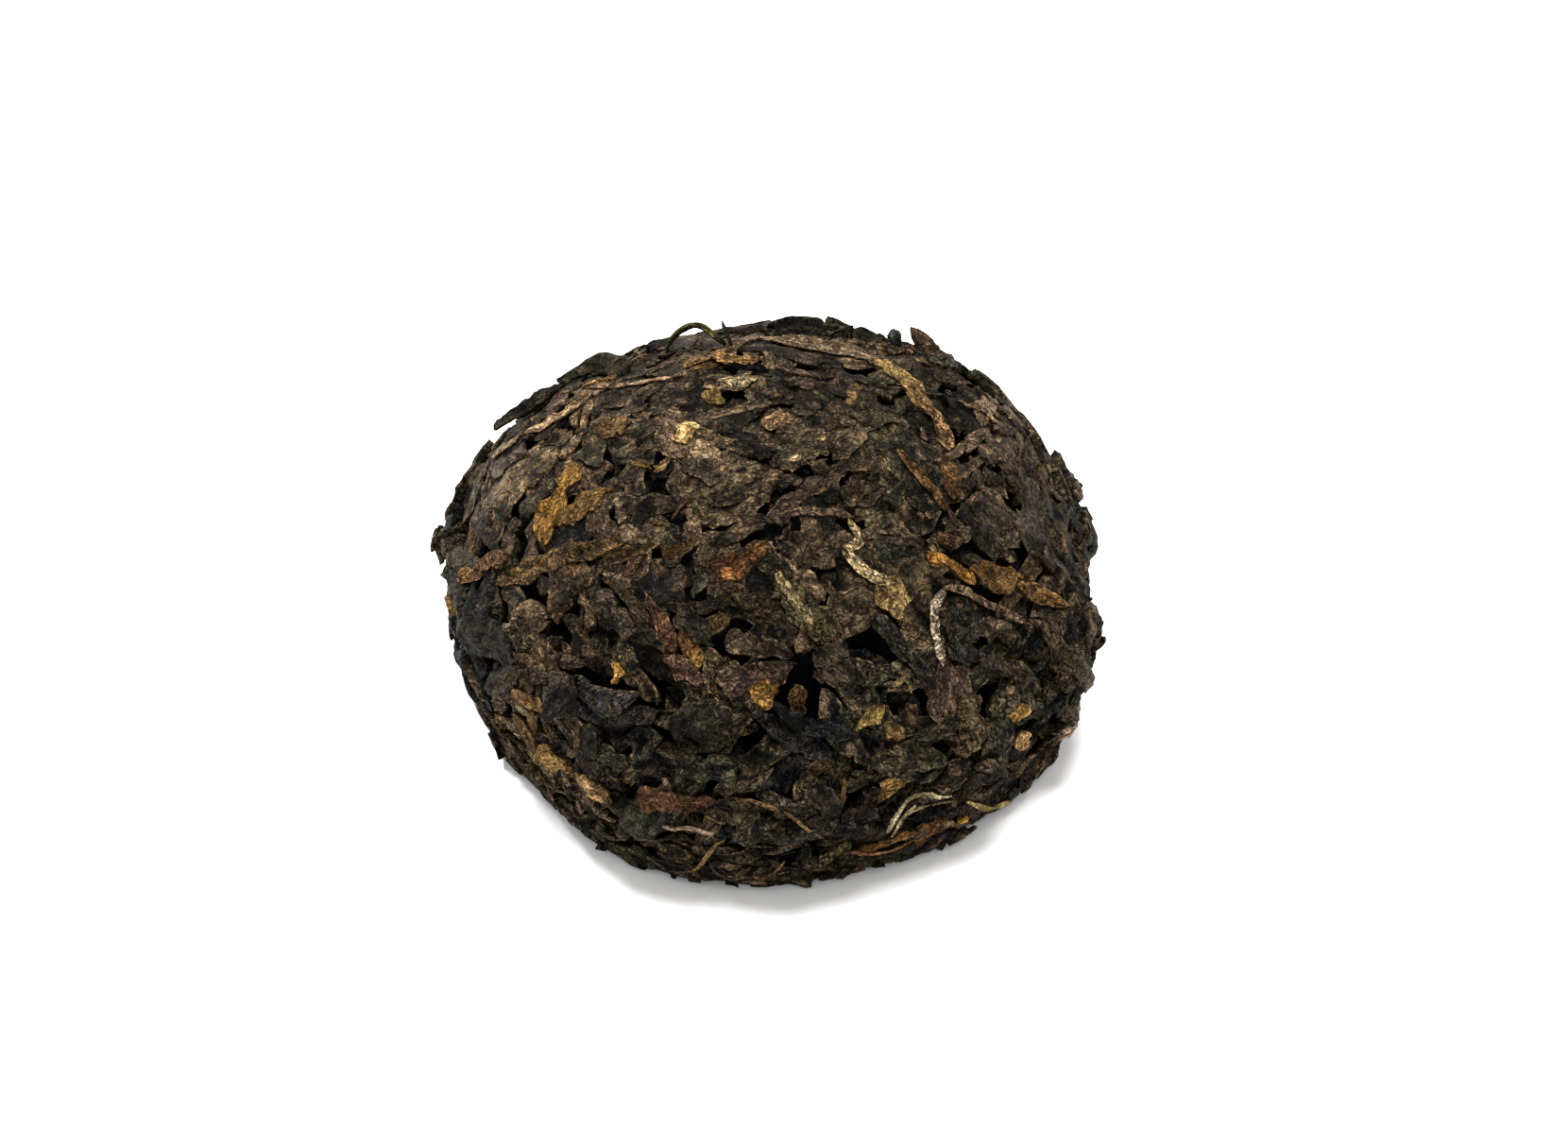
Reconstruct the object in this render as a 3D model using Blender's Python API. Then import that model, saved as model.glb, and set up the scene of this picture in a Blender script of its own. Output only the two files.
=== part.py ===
"""A small pressed tea nest (tuocha): dark fermented leaves pressed in a cloth into a dome.

The nest is one solid: a slightly smaller core, whose skin is broken into pressed plates, with the
flat leaves, the rolled leaves and the flakes that stand out of it fused on at their true size.
Metres, +Z up. The origin is the middle of the foot, on the surface that the nest stands on.
The front of the nest faces -Y.
"""

import math
import random

import bmesh
import bpy
from mathutils import Matrix, Vector, noise
from mathutils.bvhtree import BVHTree

MM = 0.001

# The pressed form
ACROSS = 28.4 * MM  # widest, at the rim
HEIGHT = 14.9 * MM
RIM_LEVEL = 4.2 * MM  # height of the widest ring
FOOT_ACROSS = 25.4 * MM
MOUTH_ACROSS = 12.4 * MM  # of the hollow that the twisted cloth leaves in the underside
HOLLOW_DEPTH = 6.2 * MM
PRESSED_FLAT = 0.3 * MM  # how much of the foot is cut off level where it stands
LIP_ROUND = 1.3 * MM  # where the foot turns into the hollow
CROWN_FULLNESS = 2.25  # superellipse power of the dome: 2 is an ellipse
RIM_FULLNESS = 2.3
PLAN_DENTS = [  # (bearing in degrees, change of radius, half width in degrees)
    (214, -1.35 * MM, 32),
    (120, -1.05 * MM, 24),
    (16, 0.75 * MM, 28),
]
MIDDLE = (0.5 * MM, 0.1 * MM)  # of the box round the dented form
LUMP_SIZE = 5.5 * MM
LUMP_HEIGHT = 0.38 * MM
PROFILE_STEPS = 60  # points to each quarter curve of the profile

# The core and its skin of pressed plates
CORE_SUNK = 0.12 * MM
CELL_COUNT = 170
CELL_UNEVENNESS = 0.5  # of the way to the next cell
MERGED_SHARE = 0.9  # of the cells are joined with a neighbour, as one longer leaf
GROOVE_WIDTH = 0.24 * MM
GROOVE_DEPTH = (0.20 * MM, 0.55 * MM)
PLATE_LIFT = (-0.10 * MM, 0.26 * MM)
PLATE_TILT = 0.13  # slope
PLATE_CROWN = 0.12 * MM

# The leaves on it
ROOT = 0.75 * MM  # how deep a leaf is sunk below the pressed form
ROOT_TAPER = 0.8  # size of a flat leaf down at its root
LEAF_COUNT = 72
LEAF_LENGTH = (2.8 * MM, 5.8 * MM)
LEAF_WIDTH = (1.5 * MM, 2.7 * MM)
LEAF_PROUD = (0.10 * MM, 0.42 * MM)
LEAF_TILT = 0.06  # slope
LEAF_TORN = 0.13  # of the width, at the corners
LEAF_CROWN = 0.10 * MM
STRIP_COUNT = 18
STRIP_LENGTH = (3.2 * MM, 6.4 * MM)
STRIP_WIDTH = (0.9 * MM, 1.5 * MM)
STRIP_BEND = 50  # 1 / m
STRIP_STATIONS = (-1.0, -0.55, 0.0, 0.5, 1.0)  # along half its length
FLAKE_THICKNESS = 0.24 * MM
FLAKE_STATIONS = (-1.0, -0.35, 0.35, 1.0)
STANDING_FLAKES = [  # bearing, climb and heading in degrees; length, width and lift in mm
    (82, 46, 0, 2.4, 1.5, 1.15),
    (112, 43, 10, 2.2, 1.3, 1.05),
    (148, 24, 15, 3.6, 1.6, 0.95),
    (176, 14, 80, 2.6, 1.6, 0.75),
    (52, 40, -10, 2.6, 1.5, 0.6),
    (20, 22, 60, 2.8, 1.7, 0.55),
    (236, -12, 20, 2.2, 1.3, 0.5),
    (256, -20, 0, 2.0, 1.2, 0.5),
    (300, -16, 15, 3.0, 1.5, 0.45),
    (335, 4, 75, 3.0, 1.6, 0.5),
    (128, 38, 5, 3.0, 1.6, 0.7),
    (66, 44, 20, 1.9, 1.2, 0.8),
]
FOOT_BAND = 0.9 * MM  # below this height the skin shows only the pressed plates
SEED = 22

TEA_BROWN = (0.052, 0.036, 0.025)
TEA_ROUGHNESS = 0.62
SHARP_ANGLE = 35  # degrees


# The pressed form


def superellipse(across, up, power, quarter):
    """A point of a quarter superellipse: quarter 0 is on the upright axis, 1 on the level one."""
    angle = quarter * math.pi / 2
    return (
        across * math.sin(angle) ** (2 / power),
        up * math.cos(angle) ** (2 / power),
    )


def form_profile():
    """The form's profile as (radius, height): crown, side, foot and up into the hollow."""
    rim, foot, mouth = ACROSS / 2, FOOT_ACROSS / 2, MOUTH_ACROSS / 2
    side_height = RIM_LEVEL + PRESSED_FLAT
    lip_top = LIP_ROUND - PRESSED_FLAT
    quarters = [i / PROFILE_STEPS for i in range(PROFILE_STEPS + 1)]
    crown = [superellipse(rim, HEIGHT - RIM_LEVEL, CROWN_FULLNESS, q) for q in quarters]
    points = [(r, RIM_LEVEL + z) for r, z in crown]
    side = [superellipse(rim - foot, side_height, RIM_FULLNESS, 1 - q) for q in quarters]
    points += [(foot + r, RIM_LEVEL - z) for r, z in side[1:]]
    lip = [superellipse(LIP_ROUND, LIP_ROUND, 2, q) for q in quarters]
    points += [(mouth + LIP_ROUND - r, lip_top - z) for r, z in lip]
    hollow = [superellipse(mouth, HOLLOW_DEPTH - lip_top, 2, 1 - q) for q in quarters]
    points += [(r, lip_top + z) for r, z in hollow[1:]]
    return points


def area_shares(profile):
    """For each profile point, the share of the turned area between the crown and it."""
    shares = [0.0]
    for (r0, z0), (r1, z1) in zip(profile, profile[1:]):
        shares.append(shares[-1] + math.pi * (r0 + r1) * math.dist((r0, z0), (r1, z1)))
    return [share / shares[-1] for share in shares]


PROFILE = form_profile()
SHARES = area_shares(PROFILE)


def plan_change(bearing):
    """How far out or in the side is pressed at a bearing, in metres."""
    change = 0.0
    for middle, depth, half_width in PLAN_DENTS:
        away = (bearing - middle + 180) % 360 - 180
        change += depth * math.exp(-((away / half_width) ** 2))
    return change


def uneven(point):
    """A point of the turned form, moved by the dents in plan and the lumps of the pressing."""
    radius = math.hypot(point.x, point.y)
    if radius > 0:
        bearing = math.degrees(math.atan2(point.y, point.x))
        share = min(radius / (ACROSS / 2), 1) ** 2
        point = point + Vector((point.x, point.y, 0)) / radius * plan_change(bearing) * share
    lump = noise.noise(point / LUMP_SIZE) * LUMP_HEIGHT
    outwards = Vector((point.x, point.y, (point.z - RIM_LEVEL) * 1.2)).normalized()
    moved = point + outwards * lump * min(max(point.z, 0) / RIM_LEVEL, 1)
    return moved - Vector((*MIDDLE, 0))


def on_form(direction):
    """Where a direction of the unit sphere lands on the form, its area shared out evenly.

    +Z lands on the crown and -Z on the top of the hollow.
    """
    share = (1 - direction.z) / 2
    at = 0
    while at < len(SHARES) - 2 and SHARES[at + 1] < share:
        at += 1
    part = (share - SHARES[at]) / (SHARES[at + 1] - SHARES[at])
    part = min(max(part, 0), 1)
    (r0, z0), (r1, z1) = PROFILE[at], PROFILE[at + 1]
    radius, height = r0 + (r1 - r0) * part, z0 + (z1 - z0) * part
    bearing = math.atan2(direction.y, direction.x)
    return uneven(Vector((radius * math.cos(bearing), radius * math.sin(bearing), height)))


def even_directions(count, unevenness, rng):
    """Directions spread over the unit sphere along a golden-angle spiral, then shaken."""
    golden = math.pi * (3 - math.sqrt(5))
    shake = unevenness * math.sqrt(4 * math.pi / count)
    directions = []
    for i in range(count):
        z = 1 - (2 * i + 1) / count
        ring = math.sqrt(1 - z * z)
        way = Vector((ring * math.cos(golden * i), ring * math.sin(golden * i), z))
        way += Vector([rng.uniform(-shake, shake) for _ in range(3)])
        directions.append(way.normalized())
    return directions


# The pavement of pressed plates


def cells(directions):
    """A closed bmesh of the cells round these directions, each as wide as its neighbours leave it."""
    hull = bmesh.new()
    for way in directions:
        hull.verts.new(way)
    bmesh.ops.convex_hull(hull, input=hull.verts)
    hull.faces.index_update()
    pavement = bmesh.new()
    corners = [pavement.verts.new(face.calc_center_median().normalized()) for face in hull.faces]
    for seed in hull.verts:
        level = seed.co.orthogonal().normalized()
        uphill = seed.co.cross(level)
        turns = {}
        for face in seed.link_faces:
            corner = corners[face.index]
            turns[math.atan2(corner.co.dot(uphill), corner.co.dot(level))] = corner
        pavement.faces.new([turns[turn] for turn in sorted(turns)])
    hull.free()
    return pavement


def merge_some(pavement, share, rng):
    """Joins that share of the cells in pairs, across their longest shared edge."""
    free = set(pavement.faces)
    order = list(pavement.faces)
    rng.shuffle(order)
    shared = []
    for face in order[: int(len(order) * share)]:
        if face not in free:
            continue
        for edge in sorted(face.edges, key=lambda e: -e.calc_length()):
            other = next(f for f in edge.link_faces if f is not face)
            if other in free:
                free -= {face, other}
                shared.append(edge)
                break
    bmesh.ops.dissolve_edges(pavement, edges=shared, use_verts=False)


def leaf_pavement(rng):
    """The whole skin of the nest: plates with sunk grooves between them, as one closed bmesh."""
    pavement = cells(even_directions(CELL_COUNT, CELL_UNEVENNESS, rng))
    merge_some(pavement, MERGED_SHARE, rng)
    for vert in pavement.verts:
        vert.co = on_form(vert.co) - vert.co * CORE_SUNK
    bmesh.ops.recalc_face_normals(pavement, faces=pavement.faces)
    pavement.normal_update()
    grooves = [(vert, vert.normal.copy(), rng.uniform(*GROOVE_DEPTH)) for vert in pavement.verts]
    plates = list(pavement.faces)
    bmesh.ops.inset_individual(
        pavement, faces=plates, thickness=GROOVE_WIDTH / 2, use_even_offset=True
    )
    for vert, out, depth in grooves:
        vert.co -= out * depth
    for plate in plates:
        out, middle = plate.normal.copy(), plate.calc_center_median()
        lift = rng.uniform(*PLATE_LIFT)
        lean = Vector([rng.uniform(-PLATE_TILT, PLATE_TILT) for _ in range(3)])
        for vert in plate.verts:
            vert.co += out * (lift + lean.dot(vert.co - middle))
    bmesh.ops.poke(pavement, faces=plates, offset=PLATE_CROWN, center_mode="MEAN")
    return pavement


# The leaves that are fused on


class Guide:
    """The pressed form as a smooth surface to lay leaves on."""

    def __init__(self):
        self.form = bmesh.new()
        bmesh.ops.create_icosphere(self.form, subdivisions=5, radius=1)
        for vert in self.form.verts:
            vert.co = on_form(vert.co)
        self.form.faces.ensure_lookup_table()
        self.form.normal_update()
        self.tree = BVHTree.FromBMesh(self.form)

    def nearest(self, point):
        """The surface point nearest to a point, and the outward normal there."""
        place, _, index, _ = self.tree.find_nearest(point)
        verts = self.form.faces[index].verts
        normal = sum((v.normal / ((v.co - place).length + 1e-5) for v in verts), Vector())
        return place, normal.normalized()

    def seen_from_inside(self, bearing, climb):
        """The surface point at a bearing and a climb, in degrees, from a point above the hollow."""
        way = Matrix.Rotation(math.radians(bearing), 3, "Z") @ Vector(
            (math.cos(math.radians(climb)), 0, math.sin(math.radians(climb)))
        )
        return self.tree.ray_cast(Vector((0, 0, HOLLOW_DEPTH + 1.5 * MM)), way)[0]


def heading_frame(guide, place, heading):
    """(place, along, across): along is heading degrees from the level direction round the nest."""
    place, out = guide.nearest(place)
    level = Vector((0, 0, 1)).cross(out)
    if level.length < 0.05:
        level = Vector((1, 0, 0)) - out * out.x
    level.normalize()
    turn = math.radians(heading)
    along = level * math.cos(turn) + out.cross(level) * math.sin(turn)
    return place, along, out.cross(along)


def lay_on(guide, frame, x, y, lift):
    """The point x along, y across and lift above the pressed form, counted from a frame."""
    place, along, across = frame
    spot, out = guide.nearest(place + along * x + across * y)
    return spot + out * lift


def loft(rings):
    """A closed skin through rings of points, all of one length, with a cap at each end."""
    form = bmesh.new()
    made = []
    for ring in rings:
        verts = [form.verts.new(point) for point in ring]
        made += [form.edges.new((a, b)) for a, b in zip(verts, verts[1:] + verts[:1])]
    bmesh.ops.bridge_loops(form, edges=made)
    bmesh.ops.holes_fill(form, edges=form.edges, sides=0)
    return form


def leaf_outline(rng, length, width):
    """The corners of a torn leaf seen from above: wide in the middle, blunt or pointed at the ends."""
    half, side = length / 2, width / 2
    blunt = rng.uniform(0.15, 0.6)
    outline = [
        (-half, -side * blunt),
        (-half * 0.35, -side),
        (half * 0.45, -side * 0.85),
        (half, rng.uniform(-0.3, 0.3) * side),
        (half * 0.40, side * 0.9),
        (-half * 0.30, side),
        (-half * 0.9, side * blunt),
    ]
    torn = width * LEAF_TORN
    return [(x + rng.uniform(-torn, torn), y + rng.uniform(-torn, torn)) for x, y in outline]


def flat_leaf(guide, rng, place, heading, length, width, proud):
    """A piece of leaf pressed flat: a thick plate along the form, with its middle a little higher."""
    frame = heading_frame(guide, place, heading)
    outline = leaf_outline(rng, length, width)
    tilt = [rng.uniform(-LEAF_TILT, LEAF_TILT) for _ in range(2)]
    low = [lay_on(guide, frame, x * ROOT_TAPER, y * ROOT_TAPER, -ROOT) for x, y in outline]
    high = [lay_on(guide, frame, x, y, proud + tilt[0] * x + tilt[1] * y) for x, y in outline]
    leaf = loft([low, high])
    middle = sum(high, Vector()) / len(high)
    top = min(leaf.faces, key=lambda face: (face.calc_center_median() - middle).length)
    ridge = bmesh.ops.poke(leaf, faces=[top], center_mode="MEAN")["verts"][0]
    ridge.co = lay_on(guide, frame, 0, 0, proud + LEAF_CROWN)
    return leaf


def leaf_strip(guide, rng, place, heading, length, width, proud):
    """A rolled leaf: a long bent ridge that narrows to both ends."""
    frame = heading_frame(guide, place, heading)
    bend = rng.uniform(-STRIP_BEND, STRIP_BEND)
    rings = []
    for share in STRIP_STATIONS:
        x = share * length / 2
        half = width / 2 * (0.42 + 0.58 * math.cos(share * 1.25)) * rng.uniform(0.85, 1.15)
        top = proud + half * 0.55
        section = [(-half, -ROOT), (half, -ROOT), (half, proud * 0.3)]
        section += [(half * 0.35, top), (-half * 0.55, top * 0.9), (-half, proud * 0.2)]
        rings.append([lay_on(guide, frame, x, bend * x * x + y, z) for y, z in section])
    return loft(rings)


def standing_flake(guide, rng, bearing, climb, heading, length, width, lift):
    """A leaf that lifts off the form along one long side, as those do that break the outline."""
    frame = heading_frame(guide, guide.seen_from_inside(bearing, climb), heading)
    wide, far = width * MM, lift * MM
    rings = []
    for share in FLAKE_STATIONS:
        reach = (1 - 0.45 * share * share) * rng.uniform(0.88, 1.1)
        edge = far * reach
        section = [(-0.25 * wide, -ROOT), (0.3 * wide, -ROOT)]
        section += [(0.75 * wide * reach, edge - FLAKE_THICKNESS), (0.8 * wide * reach, edge)]
        section += [(0.2 * wide, far * 0.35 + FLAKE_THICKNESS), (-0.3 * wide, 0.1 * MM)]
        x = share * length * MM / 2
        rings.append([lay_on(guide, frame, x, y, z) for y, z in section])
    return loft(rings)


# The scene


def clear_scene():
    for obj in list(bpy.data.objects):
        bpy.data.objects.remove(obj)


def tea_material():
    material = bpy.data.materials.new("pressed_tea")
    material.use_nodes = True
    shader = material.node_tree.nodes["Principled BSDF"]
    shader.inputs["Base Color"].default_value = (*TEA_BROWN, 1)
    shader.inputs["Roughness"].default_value = TEA_ROUGHNESS
    shader.inputs["Metallic"].default_value = 0
    return material


def object_of(form, name, collection):
    mesh = bpy.data.meshes.new(name)
    bmesh.ops.recalc_face_normals(form, faces=form.faces)
    form.to_mesh(mesh)
    form.free()
    obj = bpy.data.objects.new(name, mesh)
    collection.objects.link(obj)
    return obj


def apply_boolean(obj, operation, **operand):
    modifier = obj.modifiers.new("fuse", "BOOLEAN")
    modifier.operation = operation
    modifier.solver = "MANIFOLD"
    for setting, value in operand.items():
        setattr(modifier, setting, value)
    bpy.context.view_layer.update()
    fused = obj.evaluated_get(bpy.context.evaluated_depsgraph_get())
    mesh = bpy.data.meshes.new_from_object(fused)
    obj.modifiers.clear()
    obj.data = mesh


def places_for(count, rng):
    """That many places, evenly spread over the nest's outside down to the foot band."""
    outside = next(share for share, (_, z) in zip(SHARES, PROFILE) if z < FOOT_BAND)
    ways = even_directions(int(count / outside), CELL_UNEVENNESS, rng)
    places = [on_form(way) for way in ways]
    return [place for place in places if place.z > FOOT_BAND][:count]


def lay_leaves(rng, collection):
    """Each flat leaf, rolled leaf and standing flake as its own closed object, ready to be fused."""
    guide = Guide()
    for place in places_for(LEAF_COUNT, rng):
        length, width = rng.uniform(*LEAF_LENGTH), rng.uniform(*LEAF_WIDTH)
        proud, heading = rng.uniform(*LEAF_PROUD), rng.uniform(-80, 80)
        leaf = flat_leaf(guide, rng, place, heading, length, width, proud)
        object_of(leaf, "leaf", collection)
    for place in places_for(STRIP_COUNT, rng):
        length, width = rng.uniform(*STRIP_LENGTH), rng.uniform(*STRIP_WIDTH)
        proud, heading = rng.uniform(*LEAF_PROUD), rng.uniform(-75, 75)
        strip = leaf_strip(guide, rng, place, heading, length, width, proud)
        object_of(strip, "strip", collection)
    for flake in STANDING_FLAKES:
        object_of(standing_flake(guide, rng, *flake), "flake", collection)


def keep_largest_body(obj):
    """Drops the loose scraps and sealed hollows that fusing can leave."""
    form = bmesh.new()
    form.from_mesh(obj.data)
    unseen = set(form.verts)
    bodies = []
    while unseen:
        body, edge = set(), [unseen.pop()]
        while edge:
            vert = edge.pop()
            body.add(vert)
            near = {e.other_vert(vert) for e in vert.link_edges} & unseen
            unseen -= near
            edge += near
        bodies.append(body)
    bodies.sort(key=len)
    scraps = [vert for body in bodies[:-1] for vert in body]
    bmesh.ops.delete(form, geom=scraps, context="VERTS")
    form.to_mesh(obj.data)
    form.free()


def tea_nest():
    """The nest: pavement and leaves fused, and cut level where it stands."""
    rng = random.Random(SEED)
    scene = bpy.context.scene.collection
    nest = object_of(leaf_pavement(rng), "tea_nest", scene)

    leaves = bpy.data.collections.new("leaves")
    scene.children.link(leaves)
    lay_leaves(rng, leaves)
    apply_boolean(nest, "UNION", operand_type="COLLECTION", collection=leaves)
    for leaf in list(leaves.objects):
        bpy.data.objects.remove(leaf)
    bpy.data.collections.remove(leaves)

    below_foot = bmesh.new()
    bmesh.ops.create_cube(below_foot, size=2 * ACROSS)
    bmesh.ops.translate(below_foot, verts=below_foot.verts, vec=(0, 0, -ACROSS))
    slab = object_of(below_foot, "slab", scene)
    apply_boolean(nest, "DIFFERENCE", object=slab)
    bpy.data.objects.remove(slab)

    keep_largest_body(nest)
    nest.data.materials.clear()
    nest.data.materials.append(tea_material())
    nest.data.shade_smooth()
    nest.data.set_sharp_from_angle(angle=math.radians(SHARP_ANGLE))


clear_scene()
tea_nest()
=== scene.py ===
"""A small pressed tea nest (tuocha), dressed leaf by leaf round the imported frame.

The nest is built the way it is pressed. A dark core of matted leaf comes first. Then leaves are
laid on it one by one: each rests on those beneath it, and none rises past the cloth that pressed
them. Leaves that end up hidden are dropped. Lengths are in millimetres until a mesh is made.
"""

import math
import random

import bmesh
import bpy
import numpy as np
from mathutils import Matrix, Vector, noise
from mathutils.bvhtree import BVHTree


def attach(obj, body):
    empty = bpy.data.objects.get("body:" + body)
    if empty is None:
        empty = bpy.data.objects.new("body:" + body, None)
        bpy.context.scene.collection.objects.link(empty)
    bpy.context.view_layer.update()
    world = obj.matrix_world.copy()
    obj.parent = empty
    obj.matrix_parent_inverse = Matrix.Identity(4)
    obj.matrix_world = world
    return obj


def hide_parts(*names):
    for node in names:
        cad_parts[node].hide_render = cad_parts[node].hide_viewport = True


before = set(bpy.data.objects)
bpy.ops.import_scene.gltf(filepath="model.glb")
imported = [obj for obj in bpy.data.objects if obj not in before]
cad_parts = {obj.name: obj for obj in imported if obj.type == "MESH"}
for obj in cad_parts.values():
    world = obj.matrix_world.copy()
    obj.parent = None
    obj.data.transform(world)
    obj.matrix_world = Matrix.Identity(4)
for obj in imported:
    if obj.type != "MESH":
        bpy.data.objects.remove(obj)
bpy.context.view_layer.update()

M = 0.001  # a millimetre in Blender's metres

# The pressed form, in mm: the part's own sizes, with dents that follow the photo more closely
ACROSS = 28.4
HEIGHT = 14.9
RIM_LEVEL = 4.2
FOOT_ACROSS = 25.4
MOUTH_ACROSS = 12.4
HOLLOW_DEPTH = 6.2
PRESSED_FLAT = 0.3
LIP_ROUND = 1.3
CROWN_FULLNESS = 2.25
RIM_FULLNESS = 2.3
PLAN_DENTS = [  # bearing, mm out (less than 0 is in), and half-width in degrees
    (214, -1.8, 30),
    (170, -1.0, 20),
    (122, -2.1, 26),
    (92, -0.8, 22),
    (36, 1.3, 18),
    (340, 0.3, 18),
    (0, -0.6, 16),
    (268, -0.15, 26),
]
MIDDLE = (0.5, 0.1)  # of the dented plan, which is moved to the frame's middle
LUMP_SIZE = 5.5
LUMP_HEIGHT = 0.38
LUMP_RISE = 1.2  # how much more the lumps point up than out
PROFILE_STEPS = 60

# The photo's camera, in degrees, mm and pixels
PHOTO_SIZE = (1660, 1213)
CLIMB = 40.0
DISTANCE = 170.0
AIM = (0.75, 0.0, 5.85)
PIXELS_PER_MM = 24.0  # at the aim point
SENSOR = 36.0

FORM_FINENESS = 7  # icosphere subdivisions of the form that leaves are laid on
SEED = 7


# The pressed form


def superellipse(across, up, power, quarter):
    """A point of a quarter superellipse: quarter 0 is on the upright axis, 1 on the level one."""
    angle = quarter * math.pi / 2
    return (
        across * math.sin(angle) ** (2 / power),
        up * math.cos(angle) ** (2 / power),
    )


def form_profile():
    """The form's profile as (radius, height): crown, side, foot and up into the hollow."""
    rim, foot, mouth = ACROSS / 2, FOOT_ACROSS / 2, MOUTH_ACROSS / 2
    side_height = RIM_LEVEL + PRESSED_FLAT
    lip_top = LIP_ROUND - PRESSED_FLAT
    quarters = [i / PROFILE_STEPS for i in range(PROFILE_STEPS + 1)]
    crown = [superellipse(rim, HEIGHT - RIM_LEVEL, CROWN_FULLNESS, q) for q in quarters]
    points = [(r, RIM_LEVEL + z) for r, z in crown]
    side = [superellipse(rim - foot, side_height, RIM_FULLNESS, 1 - q) for q in quarters]
    points += [(foot + r, RIM_LEVEL - z) for r, z in side[1:]]
    lip = [superellipse(LIP_ROUND, LIP_ROUND, 2, q) for q in quarters]
    points += [(mouth + LIP_ROUND - r, lip_top - z) for r, z in lip]
    hollow = [superellipse(mouth, HOLLOW_DEPTH - lip_top, 2, 1 - q) for q in quarters]
    points += [(r, lip_top + z) for r, z in hollow[1:]]
    return np.array(points)


def area_shares(profile):
    """For each profile point, the share of the turned area between the crown and it."""
    steps = np.linalg.norm(np.diff(profile, axis=0), axis=1)
    bands = steps * (profile[1:, 0] + profile[:-1, 0])
    shares = np.concatenate([[0], np.cumsum(bands)])
    return shares / shares[-1]


PROFILE = form_profile()
SHARES = area_shares(PROFILE)


def smooth(values, low, high):
    """0 below low, 1 above high, with a smooth rise between."""
    t = np.clip((values - low) / (high - low), 0, 1)
    return t * t * (3 - 2 * t)


def noise_at(points, size, seed=0.0):
    """Smooth noise of about -1 to 1 at each point, with bumps of that size."""
    shifted = points / size + (seed, -seed, 0.5 * seed)
    return np.array([noise.noise(point) for point in shifted.tolist()])


def plan_change(bearings):
    """How far out or in the side is pressed at these bearings, in degrees."""
    change = np.zeros(len(bearings))
    for middle, depth, half_width in PLAN_DENTS:
        away = (bearings - middle + 180) % 360 - 180
        change += depth * np.exp(-((away / half_width) ** 2))
    return change


def on_form(ways):
    """Where directions of the unit sphere land on the form, its area shared out evenly."""
    shares = (1 - ways[:, 2]) / 2
    radii = np.interp(shares, SHARES, PROFILE[:, 0])
    heights = np.interp(shares, SHARES, PROFILE[:, 1])
    bearings = np.arctan2(ways[:, 1], ways[:, 0])
    level = np.stack([np.cos(bearings), np.sin(bearings)], axis=1)
    dents = plan_change(np.degrees(bearings)) * np.minimum(radii / (ACROSS / 2), 1) ** 2
    points = np.column_stack([level * (radii + dents)[:, None], heights])
    lumps = noise_at(points, LUMP_SIZE) * LUMP_HEIGHT
    outwards = points * (1, 1, LUMP_RISE) - (0, 0, LUMP_RISE * RIM_LEVEL)
    outwards /= np.linalg.norm(outwards, axis=1)[:, None]
    lumps *= np.clip(heights / RIM_LEVEL, 0, 1)
    return points + outwards * lumps[:, None] - (*MIDDLE, 0)


class Form:
    """The pressed form, and how high the leaves are stacked at each of its points."""

    def __init__(self):
        ball = bmesh.new()
        bmesh.ops.create_icosphere(ball, subdivisions=FORM_FINENESS, radius=1)
        self.spots = on_form(np.array([v.co for v in ball.verts]))
        for vert, spot in zip(ball.verts, self.spots):
            vert.co = spot
        ball.normal_update()
        self.normals = np.array([v.normal for v in ball.verts])
        self.faces = np.array([[v.index for v in face.verts] for face in ball.faces])
        self.tree = BVHTree.FromBMesh(ball)
        ball.free()
        self.loose = looseness(self.spots)
        self.regions = regions_of(self.spots, self.loose)
        bump_size, bump_height = CORE_BUMPS
        self.core = bump_height * noise_at(self.spots, bump_size) - self.by_looseness(CORE_SUNK)
        self.ceiling = self.by_looseness(CEILING)
        for size, seed, height, more in CEILING_WAVES:
            self.ceiling += noise_at(self.spots, size, seed) * (height + more * self.loose)
        self.cloth = self.ceiling.copy()
        self.squash = self.by_looseness(SQUASH)
        self.press_hollows()
        self.stack = self.core.copy()
        self.owner = np.full(len(self.spots), -1)

    def by_looseness(self, ends):
        """A value for each point: the first end where the nest is tight, the other where loose."""
        return ends[0] + (ends[1] - ends[0]) * self.loose

    def press_hollows(self):
        """Sinks the core and the leaves over it where the photo shows dark hollows."""
        for pixel, radius, depth in HOLLOWS:
            away = np.linalg.norm(self.spots - self.seen_at(pixel), axis=1)
            dip = np.exp(-((away / radius) ** 4))
            self.core -= depth * dip * HOLLOW_IN_CORE
            self.ceiling -= depth * dip
            self.squash *= 1 - HOLLOW_FIRMNESS * dip

    def seen_at(self, pixel):
        """The form's point under a pixel of the photo, or the nearest one to that line of sight."""
        eye, ray = photo_ray(pixel)
        place, _, _, _ = self.tree.ray_cast(Vector(eye), Vector(ray))
        if place is None:
            heart = np.array((0, 0, RIM_LEVEL))
            nearest = eye + ray * np.dot(heart - eye, ray) / np.dot(ray, ray)
            place, _, _, _ = self.tree.find_nearest(Vector(nearest))
        return np.array(place)

    def project(self, points):
        """The nearest form point to each point, the normal there, and the form's face."""
        found = [self.tree.find_nearest(p) for p in points.tolist()]
        places = np.array([place for place, _, _, _ in found])
        faces = self.faces[[index for _, _, index, _ in found]]
        apart = np.linalg.norm(self.spots[faces] - places[:, None], axis=2)
        weights = 1 / (apart + WEIGHT_ROOM)
        weights /= weights.sum(axis=1)[:, None]
        normals = (self.normals[faces] * weights[:, :, None]).sum(axis=1)
        normals /= np.linalg.norm(normals, axis=1)[:, None]
        return places, normals, faces, weights


# How the nest is pressed

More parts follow.
